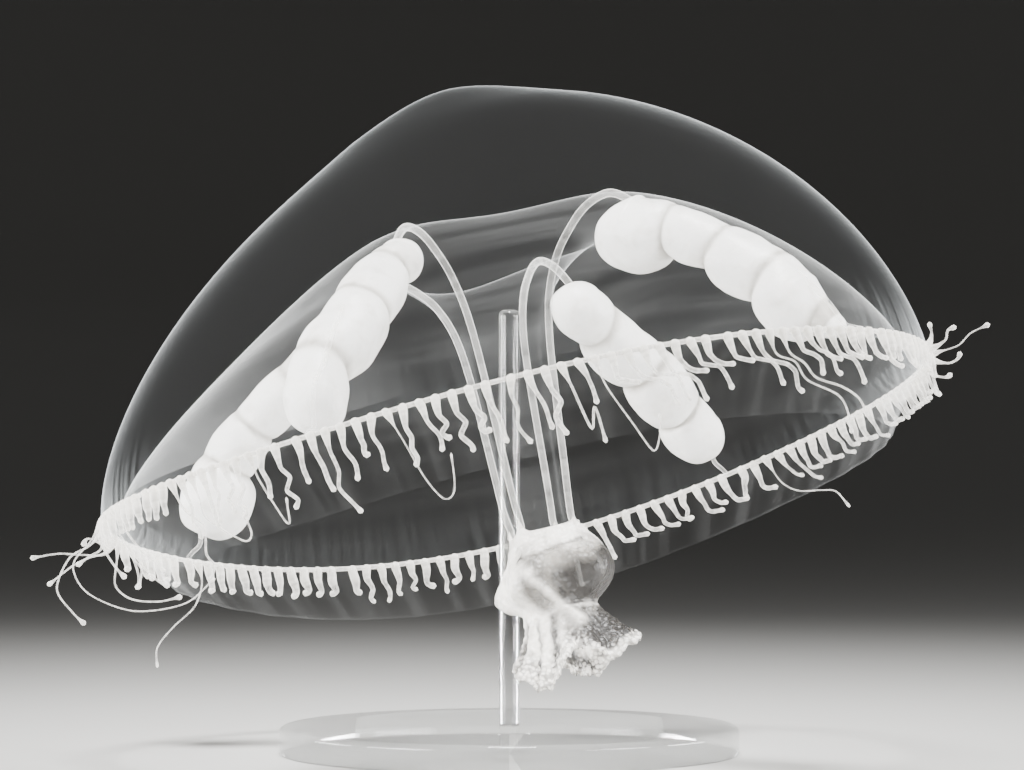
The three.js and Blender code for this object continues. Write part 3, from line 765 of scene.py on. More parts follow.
# Feelers that have drawn out into threads: the turn of the root in degrees, how stout the thread and its tip
# are, and then the points that it passes, each to the right, away from the viewer, and up from its root.
THREADS = (
    (172, 0.5, 1.0, ((-0.5, 0, -0.5), (-1.4, 0.2, -0.3), (-2.4, 0.3, 0.0), (-3.6, 0.4, 0.1))),
    (174, 0.5, 1.0, ((-0.4, 0, -0.6), (-1.2, 0, -0.7), (-2.0, 0, -0.9), (-3.2, 0, -1.5))),
    (176, 0.5, 1.1, ((-0.3, 0, -0.3), (-0.9, -0.2, 0.0), (-1.2, -0.3, -0.3))),
    (178, 0.6, 1.0, ((-0.3, 0, -0.6), (-0.8, 0, -0.8), (-1.4, -0.2, -1.1))),
    (180, 0.5, 1.0, ((-0.6, 0, -0.5), (-1.5, -0.3, -0.9), (-2.2, -0.4, -2.0),
                     (-1.8, -0.4, -3.0), (-1.4, -0.4, -3.6))),
    (183, 0.6, 1.1, ((-0.2, 0, -0.6), (0.0, -0.3, -1.4), (0.3, -0.4, -2.1), (0.6, -0.4, -2.6))),
    (186, 0.42, 0.6, ((-0.7, 0, -0.7), (-1.7, 0, -1.6), (-1.3, 0, -3.0),
                      (0.6, 0, -4.3), (3.0, 0, -4.5), (4.6, 0.2, -3.6))),
    (169, 0.5, 1.1, ((-0.3, 0, -0.9), (-0.6, 0.2, -2.0), (0.0, 0.2, -2.8),
                     (1.2, 0.2, -3.2), (2.4, 0.3, -3.2))),
    (166, 0.55, 1.1, ((0.1, 0, -0.6), (0.3, 0, -1.1), (0.1, 0.1, -1.7), (-0.1, 0.1, -1.9))),
    (163, 0.6, 1.15, ((0.1, 0, -0.6), (0.3, 0, -1.1), (0.7, 0.1, -1.6), (1.1, 0.1, -1.9))),
    (146, 0.45, 0.6, ((0.0, 0, -0.9), (-0.5, 0.1, -1.7), (-1.5, 0.2, -2.3),
                      (-2.3, 0.2, -3.0), (-2.5, 0.2, -3.8))),
    (196, 0.6, 0.9, ((0.3, 0, -0.9), (0.6, 0.2, -1.8), (0.7, 0.3, -2.6), (0.6, 0.3, -3.2))),
    (199, 0.6, 0.9, ((0.3, 0, -1.0), (0.7, 0.2, -1.9), (1.1, 0.3, -2.4), (1.5, 0.3, -3.0))),
    (218, 0.6, 0.8, ((0.3, 0, -1.2), (0.9, 0.1, -2.0), (0.8, 0.2, -3.1), (1.0, 0.3, -3.6), (0.7, 0.3, -4.2))),
    (222, 0.5, 0.8, ((0.2, 0, -1.2), (0.3, 0.1, -2.0), (1.6, 0.2, -3.2), (2.0, 0.3, -3.0), (1.8, 0.3, -2.0))),
    (235, 0.5, 0.5, ((0.2, 0, -1.0), (0.7, 0.2, -2.4), (1.0, 0.3, -3.3), (1.2, 0.3, -3.3), (1.3, 0.3, -2.2))),
    (254, 0.42, 0.45, ((0.3, 0, -1.0), (0.8, 0.1, -2.6), (1.4, 0.3, -3.6),
                       (1.8, 0.3, -3.4), (2.0, 0.3, -2.0))),
    (278, 0.7, 0.8, ((0.2, 0, -1.0), (0.7, 0.1, -2.9), (0.95, 0.2, -2.0), (1.15, 0.2, -3.6))),
    (283, 0.45, 0.6, ((0.2, 0, -1.2), (0.9, 0.1, -2.8), (1.4, 0.3, -3.8),
                      (1.7, 0.3, -3.3), (1.85, 0.3, -2.5))),
    (307, 0.55, 0.8, ((0.1, 0, -1.0), (0.8, 0, -1.5), (1.1, 0.3, -2.3),
                      (2.2, 0.8, -3.1), (2.5, 1.4, -3.8), (2.5, 2.0, -4.6))),
    (311, 0.6, 0.8, ((0.1, 0, -1.0), (0.6, 0, -1.6), (1.0, 0.2, -2.3),
                     (2.0, 0.8, -2.8), (2.6, 1.6, -3.3), (2.8, 2.4, -4.0))),
    (352, 0.5, 0.9, ((0.2, 0, 0.1), (0.4, 0, 0.5), (0.4, 0, 1.0))),
    (355, 0.6, 1.0, ((0.3, 0, 0.0), (0.9, -0.1, 0.2), (1.1, -0.1, 0.6), (1.5, -0.1, 0.7))),
    (358, 0.4, 1.0, ((0.4, 0, 0.0), (1.2, 0.1, 0.1), (1.8, 0.2, 0.5), (2.6, 0.3, 0.7))),
    (1, 0.6, 1.0, ((0.3, 0, -0.2), (0.9, 0.1, -0.4), (1.3, 0.1, -0.3), (1.5, 0.1, 0.0))),
    (5, 0.6, 1.0, ((0.2, 0, -0.5), (0.7, 0.1, -0.7), (1.0, 0.1, -0.6))),
    (55, 0.45, 0.6, ((0.4, 0, -1.1), (1.1, 0, -1.7), (2.0, 0, -1.9), (2.7, 0, -2.1), (3.1, 0, -2.9))),
)


def thread_at(i):
    """The thread that the i-th feeler has drawn out into, if it has."""
    for thread in THREADS:
        if round(thread[0] / 360 * FEELERS - 0.5) % FEELERS == i:
            return thread
    return None


def feeler_line(i):
    """A feeler's middle line, from the top of its bulb to its tip, and its girth along it."""
    place = (i % FEELERS_IN_ARC) + 0.5
    half = FEELERS_IN_ARC / 2
    in_arc = half + (place - half) * ARC_CLOSENESS
    turn = ((i // FEELERS_IN_ARC) * FEELERS_IN_ARC + in_arc) / FEELERS * TAU
    root = around(MARGIN_RADIUS, turn, margin_wave(turn))
    out = around(1, turn, 0)
    right, near = math.cos(turn), math.sin(turn) < 0
    aside = around(1, turn + math.pi / 2, 0) * (1 if near else -1)
    thread = thread_at(i)
    if thread:
        _, stout, club, passes = thread
        stout *= THREAD_THINNESS
        sharp = 0.15
        points = [root + np.array(p) * (0.9 + 0.2 * chance(i, 1)) for p in passes]
    else:
        stretch = next(shapes for end, shapes in (NEAR_FRINGE if near else FAR_FRINGE) if right <= end)
        stout, sharp, club, loose, passes = SHAPES[stretch[int(chance(i, 2) * len(stretch))]]
        stout *= 0.85 + 0.3 * chance(i, 7)
        size = 1 + 0.4 * loose * (chance(i, 1) - 0.5)
        lean = 0.3 * loose * (chance(i, 3) - 0.5)
        flip = -1 if loose < 0.5 and chance(i, 4) < 0.6 else 1
        sway = 0.3 * loose * (chance(i, 5) - 0.3)
        points = []
        for k, (across, down) in enumerate(passes):
            stray = 0.22 * loose * (chance(i, 20 + k) - 0.5)
            across = flip * across * size + lean * down + stray
            outwards = out * (0.04 + sway * smooth(down, 0.3, 2.5))
            points.append(root + aside * across + outwards + (0, 0, -down * size))
    points = np.array([p.reshape(3) for p in [root + (0, 0, BULB_TOP), root, *points]])
    along = np.linspace(0, 1, 60)
    knots = np.linspace(0, 1, len(points))
    straight = np.stack([np.interp(along, knots, points[:, k]) for k in range(3)], -1)
    line = mix(smooth_path(points, len(along)), straight, 0.7 * sharp)
    # Small bends between the big ones, which fade out at the root.
    bend = SMALL_BENDS * smooth(along, 0.15, 0.4) * np.sin(along * (9 + 6 * chance(i, 8)) + 6 * chance(i, 9))
    run = np.append(0, np.cumsum(np.linalg.norm(np.diff(line, axis=0), axis=1)))
    girth = mix(mix(1.0, stout, smooth(run, 0.2, 0.9)), club, smooth(run, run[-1] - 0.5, run[-1] - 0.1))
    return line + bend[:, None] * aside.reshape(3), girth


def spine_swell(lobes, out):
    """How far under the ceiling a gonad's middle line runs: further where a lobe is fat."""
    swells = []
    for place, radius in lobes:
        reach = GONAD_LOBE_REACH * (0.6 + 0.35 * radius)
        swells.append(mix(GONAD_BASE_RADIUS, radius, math.exp(-(((out - place) / reach) ** 2))))
    return max(swells)


def gonad_spine(quarter):
    """The middle line of a gonad, under its canal, with the sideways and downwards directions along it."""
    outs = np.linspace(0.03, 0.99, 97)
    found = {"middle": [], "side": [], "away": []}
    lobes = quarter["lobes"]
    first, last = lobes[0][0], lobes[-1][0]
    for out in outs:
        # From its first lobe to its last, a gonad swings from its canal's turn to its own.
        share = np.clip((out - first + 0.1) / (last - first + 0.2), 0, 1)
        here = np.array([math.radians(mix(quarter["turn"], quarter["gonad_turn"], share))])
        low = ceiling_points(here, max(out - 0.02, 0))[0]
        high = ceiling_points(here, min(out + 0.02, 1))[0]
        side = around(1, here + math.pi / 2, 0)[0]
        away = np.cross((high - low) / np.linalg.norm(high - low), side)
        away /= -np.linalg.norm(away)
        found["middle"].append(ceiling_points(here, out)[0] + away * (spine_swell(lobes, out) + GONAD_CLEAR))
        found["side"].append(side)
        found["away"].append(away)
    # A gonad's lower end hangs free, straight on from the ceiling's edge.
    ahead, end = found["middle"][-1] - found["middle"][-3], found["middle"][-1]
    for k in range(1, GONAD_OVERHANG + 1):
        found["middle"].append(end + ahead / np.linalg.norm(ahead) * GONAD_STEP * k)
        found["side"].append(found["side"][-1])
        found["away"].append(found["away"][-1])
    found["out"] = np.append(outs, outs[-1] + 0.0001 * np.arange(1, GONAD_OVERHANG + 1))
    for key in ("middle", "side"):
        line = np.array(found[key])
        for _ in range(30):
            line[1:-1] = (line[:-2] + 2 * line[1:-1] + line[2:]) / 4
        found[key] = line
    # The directions are squared up to the smoothed line, so that each ring stands across it.
    along = np.gradient(found["middle"], axis=0)
    along /= np.linalg.norm(along, axis=1)[:, None]
    side = found["side"] - (found["side"] * along).sum(1)[:, None] * along
    found["side"] = side / np.linalg.norm(side, axis=1)[:, None]
    away = np.cross(along, found["side"])
    found["away"] = away * np.sign((away * np.array(found["away"])).sum(1))[:, None]
    return found


def line_at(at, run, line):
    return np.array([np.interp(at, run, line[:, k]) for k in range(3)])


def lobe_swell(at, place, radius, before, after, fused):
    """How wide a lobe is at a place along the gonad. It is blunt towards a neighbour, round at a free end."""
    away = abs(at - place) / (after if at > place else before)
    power = 2.3 if (fused[1] if at > place else fused[0]) else 2.0
    return radius * max(1 - away**power, 0) ** (1 / power)


# --- settings ----------------------------------------------------------------------------------------------
def length(name, description, millimetres):
    shown = {"name": name, "description": description, "unit": "LENGTH", "precision": 5}
    return FloatProperty(default=millimetres * MM, min=0.0, **shown)


def power(name, description, watts):
    return FloatProperty(name=name, description=description, default=watts, min=0.0, unit="POWER")


def tint(name, description, code):
    return FloatVectorProperty(
        name=name, description=description, subtype="COLOR", size=4, min=0.0, max=1.0, default=linear(code)
    )


class MedusaSizes(bpy.types.PropertyGroup):
    """Sizes of the fine parts, which the solids leave out or make thicker."""

    columns: IntProperty(name="Columns", description="Columns of faces round the skin", default=288, min=48)
    bulb: length("Bulb Width", "Width of a feeler at its root", 0.46)
    shaft: length("Shaft Width", "Width of a feeler along its length", 0.17)
    tip: length("Tip Width", "Width of a feeler's swollen tip", 0.26)
    ring: length("Ring Canal Width", "Width of the ring canal in the margin", 0.2)
    canal: length("Canal Width", "Width of a radial canal", 0.34)
    velum: length("Velum Thickness", "Thickness of the velum", 0.06)
    grain: length("Lip Grain", "Height of the grains along the lips", 0.09)


class MedusaColors(bpy.types.PropertyGroup):
    """Colours of the flesh and the stand, and of the painted shade on the flesh."""

    jelly: tint("Jelly", "The clear jelly of the bell", "#F1F6F8")
    muscle: tint("Muscle Film", "The lining of the hollow and the stalk", "#F2F4F4")
    canal: tint("Canals", "The walls of the canals", "#FBFAF6")
    feeler: tint("Feelers", "The feelers and the ring canal", "#FBF9F4")
    tissue: tint("Stomach", "The stomach and the lips", "#F8F4EC")
    # The colour of the painted shade on the stomach and the lips: where they are thin, in their creases and
    # between their grains.
    fold: tint("Stomach Folds", "The stomach and the lips where they are thin", "#33312F")
    gonad: tint("Gonads", "The gonads", "#FCFAF5")
    # The colour of the painted shade in the gonads' creases.
    shaded_crease: tint("Gonad Creases", "The gonads in their creases", "#A9A49B")
    acrylic: tint("Acrylic", "The stand", "#F6FAFB")


class MedusaStage(bpy.types.PropertyGroup):
    """The floor, the lights and the camera."""

    floor: tint("Floor", "The pale board that the stand is on", "#BFBEBB")
    sky: FloatProperty(name="Fill", description="Strength of the light all round", default=0.095, min=0.0)
    key: power("Key", "Power of the soft box at the front left. The right one has a little less", 0.066)
    top: power("Top", "Power of the soft box overhead", 0.07)
    rim: power("Rim", "Power of each soft box at the sides", 0.04)
    rise: FloatProperty(
        name="Camera Rise",
        description="How far the camera looks down",
        default=math.radians(2),
        unit="ROTATION",
    )
    far: length("Camera Distance", "From the camera to the animal", 300)
    wide: length("Picture Width", "Width of the view at the animal", 43.7)


# --- the skin's rows and marks -----------------------------------------------------------------------------
def skin_parts(turn):
    """The rows of the skin by part: from the crown to the margin, into the hollow and down to the mouth."""
    outer = [outer_points(turn, climb) for climb in np.linspace(0.985, 0.035, 56)]
    ceiling = [ceiling_points(turn, out) for out in np.linspace(0.985, 0.0, 46)]
    # The bell's edge is one soft turn from its outer face, round the ring canal, into the hollow.
    wave = margin_wave(turn)
    corners = [around(radius, turn, height + wave) for radius, height in EDGE_CORNERS]
    corners = [points.ravel() for points in (outer[-1], *corners, ceiling[0])]
    return {
        "outer": outer,
        "edge": list(smooth_path(corners, 14)[1:-1].reshape(-1, len(turn), 3)),
        "ceiling": ceiling,
        "stalk": [stalk_points(turn, share) for share in np.linspace(0.994, 0.0, 46)],
        "stomach": [stomach_points(turn, share) for share in np.linspace(0.03, 1.0, 32)],
        "lips": [lip_points(turn, down, 0.0) for down in np.linspace(0.03, 1.0, 44)],
        "lining": [lip_points(turn, down, 1.0) for down in np.linspace(1.0, 0.1, 12)],
        "mouth": [around(radius, turn, height) for radius, height in ((0.6, -6.9), (0.3, -6.7))],
    }


def round_crown(outer):
    """Adds the hump to the bell's outer rows, rounds off their first 14, and gives the point at the top."""
    aside, ahead = CROWN_HUMP["middle"]
    away = np.hypot(outer[:, :, 0] - aside, outer[:, :, 1] - ahead) / CROWN_HUMP["width"]
    outer[:, :, 2] += CROWN_HUMP["height"] * np.exp(-away * away)
    for _ in range(20):
        top = np.tile(outer[0].mean(0), (1, outer.shape[1], 1))
        outer[:14] = (np.concatenate([top, outer[:13]]) + 2 * outer[:14] + outer[1:15]) / 4
    return outer[0].mean(0)


def stomach_marks(turn, fall, outside):
    """How the flesh changes over the stomach and the lips: its clear and crumbly places, its painted shade,
    and its fold.

    fall is 0 at the stomach's top, 1 at its neck and 2 at the lips' edge. outside is true on outer faces.
    """
    # A thick white fold runs down over the front of the stomach to the lips.
    fold_turn = np.radians(mix(252, 300, smooth(fall, 0.5, 1.35)))
    fold = np.exp(-(((turn - fold_turn) / 0.13) ** 2))
    fold = fold * smooth(fall, 0.4, 0.6) * smooth(fall, 1.6, 1.3) * outside
    # Below its collar the stomach has painted shade at the front, where it is thin, and the full pouch on the
    # right has a clear wall.
    aside = np.cos(turn - math.radians(-14))[None, :]
    pouch = smooth(fall, 0.18, 0.42) * smooth(fall, 1.12, 0.9)
    clear = pouch * smooth(aside, -0.1, 0.5) * (1 - fold)
    painted_shade = pouch * smooth(aside, -0.5, 0.1)
    # The lips are thin between their folds, and have painted shade there, most of all the flap on the right.
    flap = smooth(fall, 1.0, 1.2) * smooth(fall, 1.95, 1.75)
    folds = 0.5 + 0.5 * np.sin(turn * 9 + 1.5 * np.sin(3 * turn) + 2 * fall)
    painted_shade = np.maximum(painted_shade, flap * mix(0.75 * folds**2, 1.0, smooth(aside, 0.3, 0.8))) * (1 - fold)
    clear = np.maximum(clear, flap * 0.5 * smooth(aside, 0.3, 0.8))
    # A crease runs under the collar, from left to right, with painted shade in it.
    crease_fall = mix(0.36, 0.24, (turn - math.radians(240)) / math.radians(75))
    shaded_crease = np.exp(-(((fall - crease_fall) / 0.035) ** 2))
    shaded_crease = shaded_crease * (turn > math.radians(238)) * (turn < math.radians(318))
    painted_shade = np.maximum(painted_shade, 0.9 * shaded_crease * outside)
    crumbly = smooth(fall, 1.45, 1.85) * np.ones(len(turn))
    return {"clear": clear, "painted_shade": painted_shade, "crumbly": crumbly}, fold


# --- operators ---------------------------------------------------------------------------------------------
class MEDUSA_OT_body(bpy.types.Operator):
    """Make the skin: bell, hollow, stalk, stomach and lips as one closed surface"""

    bl_idname = "medusa.body"
    bl_label = "Body"

    def execute(self, context):
        sizes, colors = context.scene.medusa_sizes, context.scene.medusa_colors
        count = sizes.columns
        turn = turns(count)
        parts = skin_parts(turn)
        starts = dict(zip(parts, np.cumsum([0] + [len(part) for part in parts.values()])))
        rows = np.array(sum(parts.values(), []))
        top = round_crown(rows[: len(parts["outer"])])
        # The skin is rounded off over the crest, at the stomach's top and at its neck.
        for part, reach, times in (("stalk", 9, 24), ("stomach", 4, 6), ("lips", 3, 4)):
            low, high = starts[part] - reach, starts[part] + reach
            for _ in range(times):
                middle = rows[low:high]
                rows[low:high] = (rows[low - 1 : high - 1] + 2 * middle + rows[low + 1 : high + 1]) / 4
        vertices = np.vstack([rows.reshape(-1, 3), top, MOUTH_ROOF])
        faces = face_out(vertices, skin_faces(len(rows), count))
        # The three materials change where the ceiling and the stomach start.
        changes = [starts["ceiling"], starts["stomach"]]
        kinds = np.searchsorted(changes, np.arange(len(rows) - 1), side="right")
        index = np.repeat(kinds, count).tolist() + [0, 2] * count
        fall = np.zeros(len(rows))
        for part, ends in (("stomach", (0, 1)), ("lips", (1, 2)), ("lining", (2, 1))):
            fall[starts[part] : starts[part] + len(parts[part])] = np.linspace(*ends, len(parts[part]))
        fall = fall[:, None]
        outside = (np.arange(len(rows)) < starts["lining"])[:, None]
        values, fold = stomach_marks(turn, fall, outside)
        rough = 0.9 * smooth(fall, 0.0, 0.1) + 0.9 * smooth(fall, 1.1, 2.0)
        rough = rough * (1 - 0.8 * values["clear"] * (fall < 1.1))
        outwards = around(1, np.tile(turn, len(rows)), 0)
        vertices[:-2] += FOLD_HEIGHT * fold.ravel()[:, None] * outwards
        values = {label: np.append(value.ravel(), [0, 0]) for label, value in values.items()}
        made = make_object("body_skin", vertices, faces, index, values)
        roughened(made, np.append(rough.ravel(), [0, 0]) * sizes.grain / MM, 4.2, 5.0)
        materials = [
            jelly_material(colors.jelly),
            muscle_material(colors.muscle),
            # The stomach's second colour is its painted shade.
            tissue_material(colors.tissue, colors.fold),
        ]
        solids = ["bell", "stalk", "stomach"] + ["lip_" + name for name in QUARTERS]
        finish_piece(made, materials, solids)
        made.visible_shadow = False  # flesh as clear as water dims no light
        return {"FINISHED"}


class MEDUSA_OT_velum(bpy.types.Operator):
    """Make the velum, the thin skirt inside the margin"""

    bl_idname = "medusa.velum"
    bl_label = "Velum"

    def execute(self, context):
        sizes, colors = context.scene.medusa_sizes, context.scene.medusa_colors
        count = sizes.columns
        turn = turns(count)
        wave = margin_wave(turn)
        half = sizes.velum / MM / 2
        line = smooth_path([(17.75, -0.1), (17.35, -0.55), (16.6, -1.5), VELUM_LIP], 18)

        def row(share, point, shift):
            ripple = 0.05 * share * np.sin(turn * 36 + np.sin(turn * 3))
            return around(point[0] + shift + ripple, turn, point[1] + wave)

        shares = np.linspace(0, 1, len(line))
        outside = [row(s, p, half) for s, p in zip(shares, line)]
        inside = [row(s, p, -half) for s, p in zip(shares, line)][::-1]
        rows = np.array(outside + inside)
        vertices = rows.reshape(-1, 3)
        faces = face_out(vertices, skin_faces(len(rows), count, poles=False, hoop=True))
        made = make_object("velum_film", vertices, faces)
        finish_piece(made, [velum_material(colors.muscle)], ["velum"])
        made.visible_shadow = False
        return {"FINISHED"}


class MEDUSA_OT_gonads(bpy.types.Operator):
    """Make the four gonads, each a chain of fused lobes under its canal"""

    bl_idname = "medusa.gonads"
    bl_label = "Gonads"

    def execute(self, context):
        colors = context.scene.medusa_colors
        material = gonad_material(colors.gonad, colors.shaded_crease)
        angles = turns(GONAD_SIDES)
        ease = (1 - np.cos(np.linspace(0, math.pi, 150))) / 2
        stations = mix(ease, np.linspace(0, 1, 150), 0.6)
        for number, (name, quarter) in enumerate(QUARTERS.items()):
            spine = gonad_spine(quarter)
            run = np.append(0, np.cumsum(np.linalg.norm(np.diff(spine["middle"], axis=0), axis=1)))
            places = [np.interp(place, spine["out"], run) for place, _ in quarter["lobes"]]
            radii = [radius for _, radius in quarter["lobes"]]
            # A lobe reaches well into its neighbours, and is round at a free end.
            gaps = np.diff(places) * [0.72 + 0.2 * chance(number, k) for k in range(len(places) - 1)]
            before, after = np.append(radii[0], gaps), np.append(gaps, radii[-1])
            fused = [(k > 0, k < len(places) - 1) for k in range(len(places))]
            first, last = places[0] - before[0], places[-1] + after[-1]
            rows, shaded_creases = [], []
            for at in mix(first + 0.002, last - 0.002, stations):
                inner = places[0] < at < places[-1]
                swells = sorted(lobe_swell(at, *lobe) for lobe in zip(places, radii, before, after, fused))
                strand = GONAD_BASE_RADIUS if inner else 0.0
                wide = max(swells[-1], strand)
                # Where two lobes meet, the surface is dented a little and the crease is given painted shade.
                shaded_crease = math.exp(-(((wide - max(swells[-2], strand)) / 0.16) ** 2)) if inner else 0.0
                middle, side, away = (line_at(at, run, spine[key]) for key in ("middle", "side", "away"))
                # A gonad is even along its upper side, where it is grown to the canal, and bulges below.
                grown = np.clip(-np.sin(angles), 0, 1) * 0.7 if inner else 0.0
                even = np.interp(at, places, radii) * 0.95 if inner else wide
                widths = mix(wide - 0.06 * shaded_crease, even, grown)
                sway = 0.12 * math.sin(1.1 * at + 2.1 * number) * min(wide, 1)
                squash = 1 + 0.05 * np.cos(2 * angles + 0.5 * at + number)
                ring = middle + (widths * (np.cos(angles) * squash) + sway)[:, None] * side
                rows.append(ring + (widths * np.sin(angles))[:, None] * away)
                shaded_creases.append(shaded_crease)
            vertices = np.vstack([*rows, rows[0].mean(0), rows[-1].mean(0)])
            faces = face_out(vertices, skin_faces(len(rows), GONAD_SIDES))
            # The attribute carries the painted shade of the creases to the material.
            shaded_crease = np.append(np.repeat(shaded_creases, GONAD_SIDES), [0, 0]) * 0.75
            made = make_object("gonad_flesh_" + name, vertices, faces, None, {"shaded_crease": shaded_crease})
            roughened(made, np.full(len(vertices), 0.10), 0.9, 3.0 + number)
            finish_piece(made, [material], ["gonad_" + name])
        return {"FINISHED"}


class MEDUSA_OT_canals(bpy.types.Operator):
    """Make the four radial canals, from the stomach over the crest to the margin"""

    bl_idname = "medusa.canals"
    bl_label = "Canals"

    def execute(self, context):
        sizes, colors = context.scene.medusa_sizes, context.scene.medusa_colors
        lines, girths = [], []
        along = np.linspace(0, 1, 150)
        for quarter in QUARTERS.values():
            here = np.array([math.radians(quarter["turn"])])
            inwards, outwards = around(-0.1, here, 0)[0], around(0.08, here, 0)[0]
            points = [stomach_points(here, share)[0] + inwards for share in (0.12, 0.04)]
            up_stalk = (0.06, 0.2, 0.4, 0.6, 0.74, 0.85, 0.92, 0.97)
            points += [stalk_points(here, share)[0] + outwards for share in up_stalk]
            # A canal runs through its gonad, and out of it under the ceiling.
            first, last = quarter["lobes"][0][0], quarter["lobes"][-1][0]
            outs = [0.05, first * 0.6, first] + list(np.linspace(first + 0.1, 1.0, 8))
            under = [0.6 if first - 0.05 <= out <= last else 0.1 for out in outs]
            points += [ceiling_points(here, out)[0] - (0, 0, drop) for out, drop in zip(outs, under)]
            # It ends in the ring canal.
            wave = margin_wave(here)
            points += [around(17.5, here, 0.25 + wave)[0], around(MARGIN_RADIUS - 0.1, here, wave)[0]]
            lines.append(smooth_path(points, len(along)))
            girths.append(np.interp(along, (0, 0.04, 0.12, 0.5, 0.62, 1), (1.2, 0.85, 0.85, 1.0, 0.7, 0.5)))
        values = {
            "Root Width": sizes.canal,
            "Shaft Width": sizes.canal,
            "Tip Width": sizes.canal,
            "Root Reach": 1.0 * MM,
            "Tip Reach": 1.0 * MM,
            "Step": 0.15 * MM,
            "Rounded": 1.0,
            "Sides": 14,
            "Flesh": canal_material(colors.canal),
        }
        made = strands("canal_walls", lines, girths, values)
        finish_piece(made, [], ["canal_" + name for name in QUARTERS])
        return {"FINISHED"}


class MEDUSA_OT_feelers(bpy.types.Operator):
    """Make the ring canal and the fringe of feelers that hangs from it"""

    bl_idname = "medusa.feelers"
    bl_label = "Feelers"

    def execute(self, context):
        sizes, colors = context.scene.medusa_sizes, context.scene.medusa_colors
        lines, girths = zip(*(feeler_line(i) for i in range(FEELERS)))
        values = {
            "Root Width": sizes.bulb,
            "Shaft Width": sizes.shaft,
            "Tip Width": sizes.tip,
            "Root Reach": 0.95 * MM,
            "Tip Reach": 0.35 * MM,
            "Step": 0.075 * MM,
            "Rounded": 1.0,
            "Sides": 7,
            "Flesh": feeler_material(colors.feeler),
        }
        fringe = strands("feeler_fringe", lines, girths, values)
        finish_piece(fringe, [], ["margin_%02d" % (k + 1) for k in range(12)])
        count = FEELERS * 4
        turn = turns(count)
        values.update(dict.fromkeys(("Root Width", "Shaft Width", "Tip Width"), sizes.ring))
        values.update({"Step": 0.12 * MM, "Rounded": 0.0, "Sides": 10})
        values["Flesh"] = ring_material(colors.feeler)
        middle = around(MARGIN_RADIUS - 0.05, turn, margin_wave(turn))
        ring = strands("ring_canal", [middle], [np.ones(count)], values, closed=True)
        finish_piece(ring, [], [])
        return {"FINISHED"}


class MEDUSA_OT_stand(bpy.types.Operator):
    """Make the acrylic base and rod, turned and polished"""

    bl_idname = "medusa.stand"
    bl_label = "Stand"

    def execute(self, context):
        material = acrylic_material(context.scene.medusa_colors.acrylic)
        unposed = np.array(animal_pose().inverted())
        for node in ("stand_base", "stand_rod"):
            low, high = (np.array(corner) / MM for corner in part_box(node))
            radius, middle = (high[0] - low[0]) / 2, (low + high) / 2
            # The base has a small soft edge below and a wide polished one above; the rod has a domed end.
            edges = (
                (low[2], 1, 0.08, np.linspace(-math.pi / 2, 0, 5)),
                (high[2], -1, min(0.25, radius * 0.6), np.linspace(0, math.pi / 2, 9)),
            )
            profile = []
            for level, inwards, soft, angles in edges:
                for angle in angles:
                    height = level + inwards * soft + soft * math.sin(angle)
                    profile.append((radius - soft + soft * math.cos(angle), height))
            count = 128 if node == "stand_base" else 48
            turn = turns(count)
            rows = np.array([around(r, turn, z) + (middle[0], middle[1], 0) for r, z in profile])
            poles = [(middle[0], middle[1], low[2]), (middle[0], middle[1], high[2])]
            vertices = np.vstack([rows.reshape(-1, 3), poles])
            # make_object expects the animal's frame.
            vertices = vertices @ unposed[:3, :3].T + unposed[:3, 3]
            faces = face_out(vertices, skin_faces(len(rows), count))
            made = make_object(node.replace("stand_", "acrylic_"), vertices, faces)
            finish_piece(made, [material], [node])
        return {"FINISHED"}


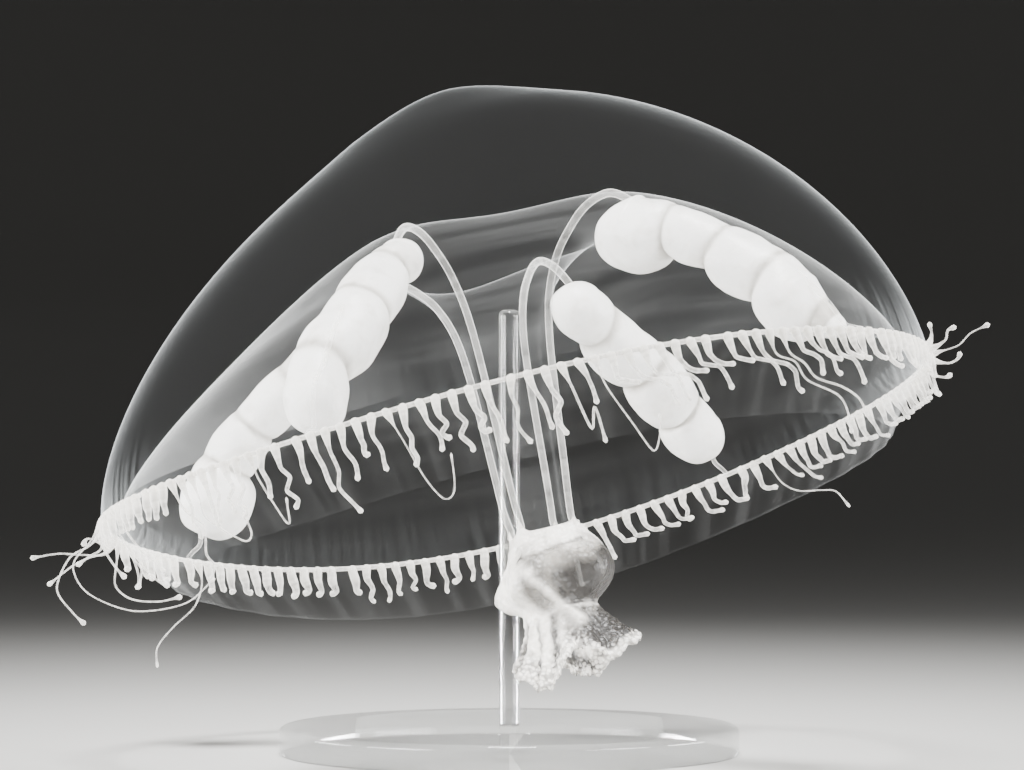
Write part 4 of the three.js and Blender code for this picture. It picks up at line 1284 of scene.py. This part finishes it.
class MEDUSA_OT_stage(bpy.types.Operator):
    """Make the floor, the lights and the camera"""

    bl_idname = "medusa.stage"
    bl_label = "Stage"

    def execute(self, context):
        stage = context.scene.medusa_stage
        # A wide shallow bowl of board: flat under the stand, and turned up far away on every side.
        profile = [(0.3, 0.0), (0.9, 0.0)]
        climbs = np.linspace(0.1, math.pi / 2, 14)
        profile += [(0.9 + 0.5 * math.sin(climb), 0.5 - 0.5 * math.cos(climb)) for climb in climbs]
        profile += [(1.4, 1.4)]
        count = 96
        turn = turns(count)
        rows = np.array([around(r, turn, z) for r, z in profile])
        vertices = np.vstack([rows.reshape(-1, 3), [(0, 0, 0)]])
        faces = [f[::-1] for f in skin_faces(len(rows), count, poles=False)]
        faces += [(len(vertices) - 1, c, (c + 1) % count) for c in range(count)]
        mesh = bpy.data.meshes.new("floor")
        mesh.from_pydata(vertices.tolist(), [], faces)
        mesh.polygons.foreach_set("use_smooth", [True] * len(mesh.polygons))
        mesh.materials.append(backdrop_material(tuple(stage.floor)))
        place_in_scene("floor", mesh)
        # The middle of the margin, which the lights are aimed at.
        middle = animal_pose().translation * MM
        # Strip boxes low at either side light the animal across the floor, and a small box overhead lights
        # the stand and the floor round it. A box is its place, its width and height, its spread and power.
        boxes = (
            ("key_left", (-0.15, -0.10, 0.006), (0.12, 0.03), 42, stage.key),
            ("key_right", (0.15, -0.10, 0.006), (0.12, 0.03), 42, stage.key * 0.8),
            ("rim_left", (-0.20, 0.03, 0.006), (0.10, 0.03), 42, stage.rim),
            ("rim_right", (0.20, 0.03, 0.006), (0.10, 0.03), 42, stage.rim),
            ("top", (0.0, -0.03, 0.22), (0.06, 0.06), 30, stage.top),
        )
        for name, place, (width, height), spread, power in boxes:
            light = bpy.data.lights.new(name, "AREA")
            light.shape, light.size, light.size_y = "RECTANGLE", width, height
            light.spread, light.energy = math.radians(spread), power
            lamp = place_in_scene(name, light)
            lamp.location = Vector(place) + middle
            lamp.visible_camera = False
            look_along(lamp, -Vector(place))
        world = bpy.data.worlds.new("studio")
        world.use_nodes = True
        world.node_tree.nodes["Background"].inputs["Color"].default_value = (1, 1, 1, 1)
        world.node_tree.nodes["Background"].inputs["Strength"].default_value = stage.sky
        context.scene.world = world
        context.scene.cycles.transparent_max_bounces = CLEAR_HITS
        data = bpy.data.cameras.new("camera")
        data.sensor_width = 36
        data.lens = data.sensor_width * stage.far / stage.wide
        data.clip_start, data.clip_end = 0.01, 10
        camera = place_in_scene("camera", data)
        target = middle + Vector(CAMERA_AIM) * MM
        back = Vector((0, -math.cos(stage.rise), math.sin(stage.rise)))
        camera.location = target + back * stage.far
        look_along(camera, -back)
        context.scene.camera = camera
        return {"FINISHED"}


OPERATORS = (
    MEDUSA_OT_body,
    MEDUSA_OT_velum,
    MEDUSA_OT_gonads,
    MEDUSA_OT_canals,
    MEDUSA_OT_feelers,
    MEDUSA_OT_stand,
    MEDUSA_OT_stage,
)


class MEDUSA_PT_panel(bpy.types.Panel):
    """The medusa's settings and the steps that make it"""

    bl_label = "Medusa"
    bl_idname = "MEDUSA_PT_panel"
    bl_space_type = "VIEW_3D"
    bl_region_type = "UI"
    bl_category = "Medusa"

    def draw(self, context):
        scene = context.scene
        for group in (scene.medusa_sizes, scene.medusa_colors, scene.medusa_stage):
            box = self.layout.box()
            for name in group.__annotations__:
                box.prop(group, name)
        for operator in OPERATORS:
            self.layout.operator(operator.bl_idname)


GROUPS = {"medusa_sizes": MedusaSizes, "medusa_colors": MedusaColors, "medusa_stage": MedusaStage}


def register():
    for cls in (*GROUPS.values(), *OPERATORS, MEDUSA_PT_panel):
        bpy.utils.register_class(cls)
    for name, group in GROUPS.items():
        setattr(bpy.types.Scene, name, PointerProperty(type=group))


def unregister():
    for name in GROUPS:
        delattr(bpy.types.Scene, name)
    for cls in (MEDUSA_PT_panel, *reversed(OPERATORS), *GROUPS.values()):
        bpy.utils.unregister_class(cls)


def main():
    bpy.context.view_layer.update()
    register()
    for operator in OPERATORS:
        group, step = operator.bl_idname.split(".")
        if getattr(getattr(bpy.ops, group), step)() != {"FINISHED"}:
            raise RuntimeError("could not make " + operator.bl_label)


if __name__ == "__main__":
    main()
